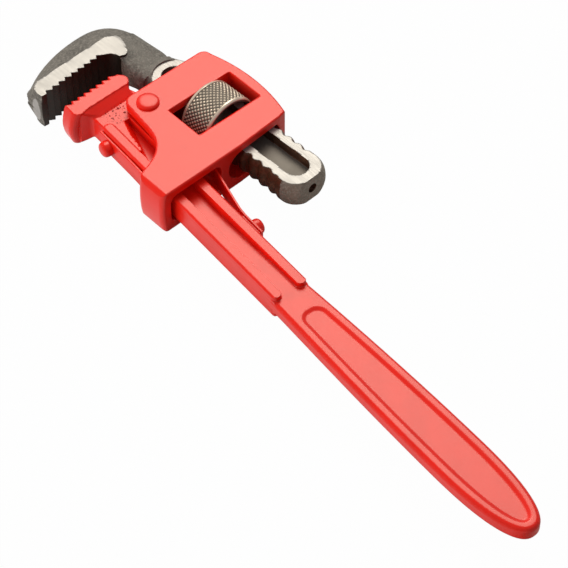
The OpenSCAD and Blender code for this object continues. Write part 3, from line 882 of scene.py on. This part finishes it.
def frame_outline():
    """Outline of the frame: the pivot's lobe, the notch behind it, the loop's foot, the
    straight back and the crown's flat arc."""
    x0, y0 = FRAME_LOW[:2]
    x1, crown_y, back = FRAME_END, FRAME_HIGH[1], 84.0
    crown = np.array([x0 + 28.4, crown_y - back])
    left = math.degrees(math.asin((x0 + 4.8 - crown[0]) / back))
    right = math.degrees(math.asin((x1 - 2.6 - crown[0]) / back))
    notch = x1 - 17.4
    foot, corner = np.array([notch + 4.6, y0 + 3]), 3.0
    lobe, lobe_r = np.array([x0 + 5.3, PIVOT[1] - 2.5]), 5.3
    return np.concatenate([
        arc(lobe, lobe_r, 180, 265, 8),
        curve([x0 + 20.9, lobe[1] - 7.4], [notch - 0.4, lobe[1] - 10.2],
              [notch - 1.3, y0 + 5.3], arc(foot, corner, 200, 200, 0)[0], 14),
        arc(foot, corner, 215, 270, 5),
        arc([x1 - 2.4, y0 + corner], corner, 270, 350, 7),
        [[x1, SHANK_Y - 12.4], [x1 - 1.7, crown_y - 7.3]],
        arc(crown, back, 90 - right, 90 - left, 20),
        arc([x0 + 4.2, crown_y - 7.6], 4.2, 115, 180, 7)])


def frame_distance(castings):
    """Distance to the frame: the outline's plate, its loop's foot bulged as part of a
    circle through the middle, hollowed along the shank and the handle, with the nut's
    window and the pivot's hole through it."""
    edge, shape, half = castings.edge * MM, frame_outline(), FRAME_HIGH[2]
    swell = 1.9
    bulge = (half * half + swell * swell) / (2 * swell)
    roof = SHANK_Y + CAVITY_HALF

    def distance(x, y, z):
        body = plate(outline(x, y, shape), z, half, edge)
        round_foot = np.hypot(np.minimum(y - FRAME_LOW[1] - bulge, 0), z) - bulge
        body = meet(body, round_foot, 2.0)
        low = box2(y, z, LOOP_Y, WEB_Y, -CAVITY_HALF, CAVITY_HALF, LOOP_CORNER)
        near = box2(y, z, LOOP_Y, roof, -CAVITY_HALF, CAVITY_HALF, LOOP_CORNER)
        near = np.maximum(near, x - WINDOW_X)
        far = box2(y, z, WEB_Y + 4.5, roof, -CAVITY_HALF, CAVITY_HALF, CAVITY_HALF - 0.1)
        far = np.maximum(far, WINDOW_X - x)
        bore = np.hypot(y - SHANK_Y, z) - THREAD_R - 0.5
        bore = np.maximum(bore, np.abs(z) - CAVITY_HALF)
        body = cut(body, np.minimum(np.minimum(low, near), np.minimum(far, bore)), 0.5)
        window = meet(np.abs(x - WINDOW_X) - WINDOW_HALF[0],
                      np.abs(y - WINDOW_Y) - WINDOW_HALF[1], 0.6)
        body = cut(body, window, 0.35)
        return cut(body, np.hypot(x - PIVOT[0], y - PIVOT[1]) - PIN_R - 0.02)

    return distance


# ---- Hook jaw ----


def hook_bite(jaws):
    """Bite side of the head: throat, teeth with steep upper sides and tip, closed well
    outside the back."""
    pitch, depth = jaws.hook_pitch * MM, jaws.tooth_depth * MM
    foot, lean, root_share = -15.1, math.tan(math.radians(4)), 0.3
    top = foot + pitch * (jaws.hook_teeth - 1)
    tip = foot + pitch * np.arange(jaws.hook_teeth)[::-1]
    root = tip + root_share * pitch
    teeth = np.stack([np.stack([HOOK_X - root * lean - depth, root], 1),
                      np.stack([HOOK_X - tip * lean, tip], 1)], 1)
    return np.concatenate([
        teeth.reshape(-1, 2),
        [[HOOK_X + 0.8, foot - 2.2], [HOOK_X + 0.8, foot - 20], [HOOK_X - 40, foot - 20],
         [HOOK_X - 40, SHANK_Y + 20], [HOOK_X + 34, SHANK_Y + 20], [HOOK_X + 34, SHANK_Y - 20],
         [HOOK_X + 20, SHANK_Y - 15], [HOOK_X + 14, SHANK_Y - 13.4]],
        curve([HOOK_X + 10, SHANK_Y - 13.2], [HOOK_X + 5.5, SHANK_Y - 13],
              [HOOK_X + 0.6, SHANK_Y - 13.4], [HOOK_X - 1, top + 4])])


def hook_back():
    """Middle of the head's rounded back, from the tip round to the neck."""
    return np.concatenate([
        curve([HOOK_X - 7.6, -14.5], [HOOK_X - 16.5, -3], [HOOK_X - 19.6, 11],
              [HOOK_X - 19.6, 22]),
        curve([HOOK_X - 19.6, 23], [HOOK_X - 19.6, SHANK_Y - 5],
              [HOOK_X - 14.6, SHANK_Y + 1.2], [HOOK_X - 2, SHANK_Y + 1.8]),
        [[HOOK_X + 12, SHANK_Y + 2.4]]])


def hook_cheek():
    """Outline of the ground cheek: a band beside the teeth that ends in a bulb."""
    x = HOOK_X
    return np.concatenate([
        [[x + 4, -17.3], [x + 4, 23]],
        arc([x + 2.2, 26], 3.2, 0, 78, 4), arc([x - 4.6, 25.8], 4.8, 80, 165, 7),
        [[x - 9.3, 25.5], [x - 7.9, -13.3], [x - 6.9, -15.7], [x - 4.6, -17.4],
         [x - 1.6, -17.8]]])


def hook_distance(jaws):
    """Distance to the hook jaw: the crowned head with its cheeks, the neck, and the
    threaded shank with its flats and slots."""
    bite, cheek, back = hook_bite(jaws), hook_cheek(), hook_back()
    core = np.concatenate([back, [[HOOK_X + 30, SHANK_Y], [HOOK_X + 30, -17.6]]])
    pitch, depth = jaws.thread_pitch * MM, jaws.thread_depth * MM
    crown, back_r, slot_floor = JAW_HALF - 0.4, 4.0, 1.8
    tip_y, tip_bulge = -17.4, 0.8

    def head(x, y, z):
        """Across the head, a line from the cheek's edge runs tangent to the round back.
        Beyond the head a slanting plane and the tip's bulged end close it."""
        beyond = outline(x, y, core)
        beside = np.maximum(outline(x, y, cheek), 0)
        width = np.maximum(beside - beyond, 1.0)
        tilt = np.arccos(back_r / np.hypot(crown, width)) - np.arctan2(width, crown)
        tilt = np.maximum(tilt, 0)
        up = np.abs(z)
        face = np.sin(tilt) * beside + np.cos(tilt) * (up - crown)
        rim = np.hypot(beyond, z) - back_r
        over = beyond * np.cos(tilt) > up * np.sin(tilt)
        falling = 0.87 * (up - crown) + 0.5 * (x - HOOK_X - 3.5)
        end = tip_y - y - tip_bulge * (1 - (z / crown) ** 2)
        return meet(meet(np.where(over, rim, face), falling, 1.5), end, 1.0)

    def neck(x, y, z):
        """A rounded bar whose section, a power curve between an ellipse and a square,
        thins towards the shank, then swells almost to the thread's own radius."""
        s, t = to_shank(x, y)
        beyond, up = x - HOOK_X, np.abs(z)
        start, full, end = -6, 19, 20
        top = ramp(beyond, start, 10, 6.3, 7.5)
        foot = ramp(beyond, 0, full, 9.9, 11.2)
        half = ramp(beyond, 0, full, CAVITY_HALF + 0.6, CAVITY_HALF - 0.5)
        power = ramp(beyond, 0, full, 2.2, 3.4)
        across = np.abs(t - (top - foot) / 2) / ((top + foot) / 2)
        ring = (across**power + (up / half) ** power) ** (1 / power)
        bar = np.maximum((ring - 1) * half, np.maximum(start - beyond, beyond - end))
        flare = np.hypot(t, z) - ramp(beyond, 18, 25, 9.2, 11.8)
        flare = meet(flare, up - CAVITY_HALF + 0.5, 1.0)
        flare = np.maximum(flare, np.maximum(17 - beyond, s - THREAD_START - 0.5))
        return blend(bar, flare, 1.5)

    def rod(s, t, z):
        """Thread of rounded crests: the radius falls by half a wave less a cosine, whose
        phase grows with the length and with the turn. The nose tapers by a power."""
        phase = s / pitch + np.arctan2(z, t) / (2 * math.pi)
        last, fade = SHANK_TIP - NOSE - 1, 3
        deep = ramp(s, THREAD_START, THREAD_START + fade) * ramp(s, last, last - fade)
        wave = depth * (1 - np.cos(2 * math.pi * phase)) / 2 * deep
        taper = 4.4 * ramp(s, SHANK_TIP - NOSE, SHANK_TIP) ** 2.6
        round_off = 0.9 * (np.hypot(t, z) - THREAD_R + wave + taper)
        return np.maximum(meet(round_off, s - SHANK_TIP, 0.8), THREAD_START - s)

    def shank_cuts(shape, s, t, z):
        """Takes from the shank its two flats, whose start is round, a slot in each, with
        round ends, and the centre hole in its end."""
        up, past = np.abs(z), s - FLAT_START
        flats = np.maximum(-FLAT_ROUND - past, np.hypot(np.minimum(past, 0), t) - FLAT_ROUND)
        flats = np.maximum(np.where(past > 0, -1.0, flats), SHANK_HALF - up)
        shape = cut(shape, flats, 0.25)
        middle = np.clip(s, SHANK_START + 22 + SLOT_HALF, SHANK_TIP - 4.2 - SLOT_HALF)
        slot = meet(np.hypot(s - middle, t) - SLOT_HALF, slot_floor - up, 0.5)
        centre = np.maximum(np.hypot(t, z) - CENTRE_R, SHANK_TIP - 5 - s)
        return cut(cut(shape, slot, 0.3), centre, 0.15)

    def distance(x, y, z):
        mouth = outline(x, y, bite)
        forging = meet(head(x, y, z), mouth, 0.5)
        forging = join(forging, meet(neck(x, y, z), mouth, 1.5), 3.0)
        side = meet(np.maximum(outline(x, y, cheek), mouth), np.abs(z) - JAW_HALF, 0.2)
        forging = join(forging, side, 0.15)
        s, t = to_shank(x, y)
        return shank_cuts(join(forging, rod(s, t, z), 2.0), s, t, z)

    return distance


def hook_finish(centre, normal):
    """0 forged, 1 ground, 2 oiled, 3 milled: the cheeks, the flats and an oval worn on the
    tip are ground, the thread, the bite, the slots' walls and the centre hole are oiled,
    and the slots' floors are milled."""
    x, y, z = centre.T
    s, t = to_shank(x, y)
    up, beyond, off_axis = np.abs(z), x - HOOK_X, np.hypot(t, z)
    steepness = np.abs(normal[:, 2])
    level, steep = steepness > 0.93, steepness < 0.5
    cheek = level & (up > JAW_HALF - 0.2)
    flat = level & (np.abs(up - SHANK_HALF) < 0.12) & (s > FLAT_START - FLAT_ROUND - 1)
    sunk = (up < SHANK_HALF - 0.3) & (s > -22) & (s < SHANK_TIP - 3)
    slot, wall = sunk & level & (np.abs(t) < SLOT_HALF + 0.1), sunk & (off_axis < 9.6)
    thread = (s > THREAD_START) & ~flat & (s < SHANK_TIP - 8)
    teeth = steep & (beyond > -3.6) & (beyond < 5.4) & (y < 28) & (y > -15.3)
    teeth |= steep & (normal[:, 0] > 0.6) & (np.abs(beyond) < 2) & (y < 0)
    hole = (off_axis < CENTRE_R + 0.1) & (s > SHANK_TIP - 7)
    worn = ((beyond + 3.4) / 2.7) ** 2 + ((z + 1.6) / 6.4) ** 2 < 1
    finish = np.where(slot, 3, np.where(thread | teeth | wall, 2, 0))
    finish = np.where(hole, 2, finish)
    return np.where(cheek | flat | (worn & (normal[:, 1] < -0.8)), 1, finish)


# ---- Operators ----


def grid_step(fine):
    """Grid step in millimetres: the fine step as given."""
    return fine * 1.0


class WRENCH_OT_handle(Operator):
    """Handle casting with its heel jaw, bar and grip"""

    bl_idname = "wrench.handle"
    bl_label = "Handle"

    def execute(self, context):
        scene = context.scene
        distance = handle_distance(scene.wrench_castings, scene.wrench_jaws)
        fine = grid_step(0.45)
        # Start, end and coarseness of each stretch along the handle.
        stretches = ((-28.5, 30, 1), (30, 110, 2), (110, 134, 1.4), (134, 240, 2),
                     (240, HANDLE_END + 1, 1.4))
        us = [spread(start, end, coarse * fine) for start, end, coarse in stretches]
        us = np.concatenate([us[0], *(row[1:] for row in us[1:])])
        vs = spread(-20.5, 33, fine)
        zs = spread(-JAW_HALF - 0.6, JAW_HALF + 0.6, fine)
        points, faces, normals = level_surface(distance, us, vs, zs)
        tips = points + normals
        for place in (points, tips):
            place[:, 0], place[:, 1] = from_handle(place[:, 0], place[:, 1])
        add_piece("handle", "handle_body", points, faces,
                  [material("enamel finish", enamel)], normals=tips - points)
        return {"FINISHED"}


class WRENCH_OT_frame(Operator):
    """Frame casting that holds the nut and rocks on the handle"""

    bl_idname = "wrench.frame"
    bl_label = "Frame"

    def execute(self, context):
        distance = frame_distance(context.scene.wrench_castings)
        fine = grid_step(0.5)
        rows = [spread(FRAME_LOW[k] - 0.7, FRAME_HIGH[k] + 0.7, fine) for k in range(3)]
        points, faces, normals = level_surface(distance, *rows)
        add_piece("frame", "frame_body", points, faces,
                  [material("enamel finish", enamel)], normals=normals)
        return {"FINISHED"}


class WRENCH_OT_hook_jaw(Operator):
    """Hook jaw forging with its threaded shank"""

    bl_idname = "wrench.hook_jaw"
    bl_label = "Hook jaw"

    def execute(self, context):
        distance = hook_distance(context.scene.wrench_jaws)
        low, high = extent("hook_jaw")
        fine = grid_step(0.45)
        rows = [spread(low[k] - 0.7, high[k] + 0.7, fine) for k in range(3)]
        points, faces, normals = level_surface(distance, *rows)
        finishes = [material("forged finish", forged_steel),
                    material("ground finish", ground_steel),
                    material("oiled finish", oiled_steel),
                    material("milled finish", milled_steel)]
        add_piece("hook_jaw", "jaw_body", points, faces, finishes,
                  choose=hook_finish, normals=normals)
        return {"FINISHED"}


class WRENCH_OT_nut(Operator):
    """Adjusting nut with its diamond knurl"""

    bl_idname = "wrench.nut"
    bl_label = "Adjusting nut"

    def execute(self, context):
        nut = context.scene.wrench_nut
        depth, half, bore = nut.depth * MM, 8.15, 12.5
        band_half = half - nut.lip * MM
        rows, sides = 72, 504

        def knurl(along, turn):
            """Height of the diamonds, 0 to 1: the lesser of two slanting ridge waves."""
            across = (along + half) * nut.teeth / (2 * math.pi * NUT_R)
            round_about = nut.teeth * turn / (2 * math.pi)
            left, right = (1 - np.abs(2 * ((round_about + k * across) % 1) - 1) for k in (1, -1))
            return np.minimum(left, right)

        def swell(along, turn):
            return np.where(np.abs(along) > band_half - 0.05, 0, depth * (knurl(along, turn) - 1))

        end = np.array([[-half + 0.6, bore], [-half + 0.2, bore + 0.3], [-half, bore + 0.8],
                        [-half, NUT_R - 0.9], [-half + 0.25, NUT_R - 0.35],
                        [-half + 0.8, NUT_R - 0.05]])
        band = np.stack([np.linspace(-band_half, band_half, rows), np.full(rows, NUT_R)], 1)
        profile = np.concatenate([end, band, (end * [-1, 1])[::-1]])
        points, faces = turned(profile, sides, swell, closed=True)
        along, across, up = points.T
        # Painted highlight and shade for the nut's colour: 1 on the knurl's points, less down into
        # its grooves, 0.8 on the lips and 0.25 in the bore.
        knurl_light_and_shade = np.where(np.abs(along) < band_half, knurl(along, np.arctan2(up, across)), 0.8)
        knurl_light_and_shade = np.where(np.hypot(across, up) < NUT_R - 0.8, 0.25, knurl_light_and_shade)
        x, y = from_shank(along, across)
        piece = add_piece("adjusting_nut", "nut_body", np.stack([x, y, up], 1),
                          faces, [material("knurled finish", knurled_steel)], crease=60)
        layer = piece.data.attributes.new("knurl", "FLOAT", "POINT")
        layer.data.foreach_set("value", knurl_light_and_shade.astype(np.float32))
        return {"FINISHED"}


def rivet_head(radius, height, side):
    """Profile of a rivet head from its crown, nearly flat, over a round shoulder to a
    straight side of the given height and down to its foot."""
    cap = curve([0, height], [radius * 0.76, height], [radius, height * 0.9], [radius, side], 18)
    return np.concatenate([cap[:, ::-1], [[0, radius], [-0.05, radius - 0.2]]])


def place_turned(points, origin, axis):
    """Turns points of (along, across, up) so that along follows the axis."""
    axis = np.array(axis, float)
    side = np.cross([0.3, 0.5, 0.81], axis)
    side /= np.linalg.norm(side)
    return np.array(origin) + points @ np.stack([axis, side, np.cross(axis, side)])


class WRENCH_OT_rivets(Operator):
    """Pivot rivet and the two rivets of the springs"""

    bl_idname = "wrench.rivets"
    bl_label = "Rivets"

    def execute(self, context):
        half = FRAME_HIGH[2]
        head = rivet_head(radius=5.15, height=1.8, side=0.3) + [half, 0]
        head = np.concatenate([head, [[half - 0.2, PIN_R]]])
        self.rivet("pivot_rivet", "frame_body", np.concatenate([head, (head * [-1, 1])[::-1]]),
                   64, [*PIVOT, 0], [0, 0, 1])
        sine, cosine = math.sin(HANDLE_TILT), math.cos(HANDLE_TILT)
        for name, u, v, side in (("front_spring_rivet", FRONT_RIVET, FRONT_LEAF, -1),
                                 ("rear_spring_rivet", REAR_RIVET, REAR_LEAF, 1)):
            top, foot = v + LEAF_THICK, v - 3.9
            head = rivet_head(radius=3.6, height=4.1, side=1.5) + [top, 0]
            profile = np.concatenate([head, [[top + 0.1, 2.0], [foot, 2.0], [foot, 0]]])
            self.rivet(name, "handle_body", profile, 48, [*from_handle(u, 0), 0],
                       [side * sine, side * cosine, 0])
        return {"FINISHED"}

    def rivet(self, name, body, profile, sides, origin, axis):
        """A profile that runs from its top to its foot, turned about the axis."""
        points, faces = turned(profile, sides)
        add_piece(name, body, place_turned(points, origin, axis),
                  faces[:, ::-1], [material("enamel finish", enamel)])


def leaf_line(start, bend, tip, count=40):
    """Line of a leaf's middle: flat from its start, bent over a short curve, and straight
    to its tip, as evenly spaced points along and across the handle."""
    way = (tip - bend) / np.linalg.norm(tip - bend)
    flat = (bend - start) / np.linalg.norm(bend - start)
    line = np.concatenate([[start], curve(bend - 4 * flat, bend - 1.5 * flat,
                                          bend + 1.5 * way, bend + 4 * way), [tip]])
    length = np.concatenate([[0], np.cumsum(np.linalg.norm(np.diff(line, axis=0), axis=1))])
    places = np.linspace(0, length[-1], count)
    return np.stack([np.interp(places, length, line[:, k]) for k in range(2)], 1)


def add_leaf(name, root, bend, tip, side):
    """Leaf spring from its root, over a bend, to its tip, as places along and across the
    handle: a flat section with rounded corners carried along the line of its inner face,
    on the given side, and closed at both ends. Its place is baked into its mesh, and it
    rides on no body."""
    line = leaf_line(*(np.array(place, float) for place in (root, bend, tip)))
    thick, half, corner = LEAF_THICK, LEAF_HALF, 0.25
    section = np.concatenate([arc([thick - corner, half - corner], corner, 90, 0, 3),
                              arc([thick - corner, -half + corner], corner, 0, -90, 3),
                              arc([corner, -half + corner], corner, 270, 180, 3),
                              arc([corner, half - corner], corner, 180, 90, 3)])
    way = np.gradient(line, axis=0)
    way /= np.linalg.norm(way, axis=1, keepdims=True)
    across = np.stack([-way[:, 1], way[:, 0]], 1)
    across *= np.sign(across[:, 1:2]) * side
    rings = line[:, None, :] + section[None, :, 0:1] * across[:, None, :]
    x, y = from_handle(rings[..., 0], rings[..., 1])
    points = np.stack([x, y, np.broadcast_to(section[None, :, 1], x.shape)], 2)
    rows, columns = x.shape
    first_ring = list(range(columns))
    last_ring = [(rows - 1) * columns + k for k in first_ring]
    faces = lattice(rows, columns).tolist() + [first_ring[::-1], last_ring]
    start, end = (np.array([*from_handle(*line[k]), 0]) / MM for k in (0, -1))
    goes_over = ("frame_body", *(tuple(start + k * (end - start)) for k in (0.25, 0.85)))
    add_piece(name, "handle_body", points.reshape(-1, 3), faces,
              [material("enamel finish", enamel)], bend=goes_over)


class WRENCH_OT_springs(Operator):
    """Leaf springs that balance the frame on the handle"""

    bl_idname = "wrench.springs"
    bl_label = "Leaf springs"

    def execute(self, context):
        above = max(0, LEAF_HALF - CAVITY_HALF + LOOP_CORNER)
        lift = LEAF_THICK + 0.3 + LOOP_CORNER - math.sqrt(LOOP_CORNER**2 - above**2)
        add_leaf("front_spring", (FRONT_RIVET - SEAT_HALF, -FRONT_LEAF),
                 (FRONT_RIVET + 17, -FRONT_LEAF), to_handle(FRAME_END - 8, LOOP_Y + lift), -1)
        add_leaf("rear_spring", (REAR_RIVET + SEAT_HALF, REAR_LEAF),
                 (REAR_RIVET - 8, REAR_LEAF), to_handle(FRAME_END - 4, WEB_Y - lift), 1)
        return {"FINISHED"}


class WRENCH_OT_stage(Operator):
    """Pale floor, soft light and the camera"""

    bl_idname = "wrench.stage"
    bl_label = "Stage"

    def execute(self, context):
        stage, scene = context.scene.wrench_stage, context.scene
        scene.view_settings.view_transform = "Standard"
        self.floor(scene, stage)
        self.sky(scene, stage)
        self.camera(scene, stage)
        away = (-math.sin(AZIMUTH) * math.cos(ELEVATION),
                math.cos(AZIMUTH) * math.cos(ELEVATION), math.sin(ELEVATION))
        self.lamp(scene, "softbox", away, size=0.9, power=stage.softbox)
        key = self.lamp(scene, "key", (-0.40, -0.80, 0.12), size=1.0, power=stage.key)
        key.visible_glossy = False
        return {"FINISHED"}

    def floor(self, scene, stage):
        """Wide square just below the nut, the object's lowest place. It is white to the camera,
        and in gloss and glass a band of it in front of the handle glows white while it is grey
        behind it: a painted reflection on the wrench's near sides, though the floor is no lamp.
        It isn't sampled as a lamp, so apart from that glow it lights the wrench by its colour
        alone."""
        mesh = bpy.data.meshes.new("floor")
        reach, level = 3.0, FLOOR / MM - 0.0002
        mesh.from_pydata([(-reach, -reach, level), (reach, -reach, level),
                          (reach, reach, level), (-reach, reach, level)], [], [(0, 1, 2, 3)])
        shader = Shader("floor finish", Roughness=0.7)
        shader.set("Base Color", tuple(stage.floor))
        shader.material.cycles.emission_sampling = "NONE"
        white = shader.node("ShaderNodeEmission", inputs={"Color": (1, 1, 1), "Strength": 1.0})
        plain = Signal(shader, shader.surface.outputs[0])
        # Band of the floor in front of the handle that glows white in gloss only: a painted
        # reflection source, not a lamp.
        beside = shader.axis("Y") + shader.axis("X") * math.tan(HANDLE_TILT)
        glossy_glow_band = shader.rise(beside, -0.006, -0.016) * 0.7
        shader.white_behind(plain, white, "Material Output", camera=0.985, mirrored=glossy_glow_band)
        mesh.materials.append(shader.material)
        floor = bpy.data.objects.new("floor", mesh)
        scene.collection.objects.link(floor)

    def sky(self, scene, stage):
        """Even light from all sides, and white behind the wrench. It isn't sampled as a
        lamp either, so that gloss shows its own share of white."""
        world = scene.world or bpy.data.worlds.new("studio")
        scene.world = world
        world.use_nodes = True
        world.cycles.sampling_method = "NONE"
        nodes = Nodes(world.node_tree)
        plain = nodes.tree.nodes["Background"]
        nodes.feed(plain.inputs["Color"], (1, 1, 1))
        nodes.feed(plain.inputs["Strength"], stage.sky)
        white = nodes.node("ShaderNodeBackground", inputs={"Color": (1, 1, 1), "Strength": 1.0})
        nodes.white_behind(Signal(nodes, plain.outputs[0]), white, "World Output",
                           camera=1.0, mirrored=0.15)

    def camera(self, scene, stage):
        """Camera at its place, turned by its azimuth and elevation."""
        lens = bpy.data.cameras.new("camera")
        lens.lens, lens.sensor_width = stage.lens, 36
        lens.clip_start, lens.clip_end = 0.05, 10
        camera = bpy.data.objects.new("camera", lens)
        camera.location = EYE
        camera.rotation_euler = (math.pi / 2 - ELEVATION, 0, AZIMUTH)
        scene.collection.objects.link(camera)
        scene.camera = camera

    def lamp(self, scene, name, way, size, power):
        """Square lamp that faces the handle's middle along the way."""
        target, far = np.array([0.19, 0.0, 0.0]), 1.5
        light = bpy.data.lights.new(name, "AREA")
        light.shape, light.size, light.energy = "SQUARE", size, power
        light.color = tuple(scene.wrench_stage.warmth)
        lamp = bpy.data.objects.new(name, light)
        lamp.location = target + far * np.array(way)
        lamp.rotation_euler = Vector(-np.array(way)).to_track_quat("-Z", "Y").to_euler()
        scene.collection.objects.link(lamp)
        return lamp


class WRENCH_PT_pieces(Panel):
    """Lists the wrench's pieces in the sidebar."""

    bl_label = "Pipe wrench"
    bl_idname = "WRENCH_PT_pieces"
    bl_space_type = "VIEW_3D"
    bl_region_type = "UI"
    bl_category = "Wrench"

    def draw(self, context):
        for operator in OPERATORS:
            self.layout.operator(operator.bl_idname)


OPERATORS = (WRENCH_OT_stage, WRENCH_OT_handle, WRENCH_OT_frame, WRENCH_OT_hook_jaw,
             WRENCH_OT_nut, WRENCH_OT_rivets, WRENCH_OT_springs)
GROUPS = {"wrench_jaws": WrenchJaws, "wrench_castings": WrenchCastings,
          "wrench_nut": WrenchNut, "wrench_finish": WrenchFinish, "wrench_stage": WrenchStage}


def register():
    for group in GROUPS.values():
        bpy.utils.register_class(group)
    for name, group in GROUPS.items():
        setattr(bpy.types.Scene, name, PointerProperty(type=group))
    for kind in (*OPERATORS, WRENCH_PT_pieces):
        bpy.utils.register_class(kind)


def unregister():
    for kind in (WRENCH_PT_pieces, *reversed(OPERATORS)):
        bpy.utils.unregister_class(kind)
    for name, group in GROUPS.items():
        delattr(bpy.types.Scene, name)
        bpy.utils.unregister_class(group)


def main():
    """Makes the stage and every piece."""
    register()
    bpy.ops.wrench.stage()
    bpy.ops.wrench.handle()
    bpy.ops.wrench.frame()
    bpy.ops.wrench.hook_jaw()
    bpy.ops.wrench.nut()
    bpy.ops.wrench.rivets()
    bpy.ops.wrench.springs()


if __name__ == "__main__":
    main()
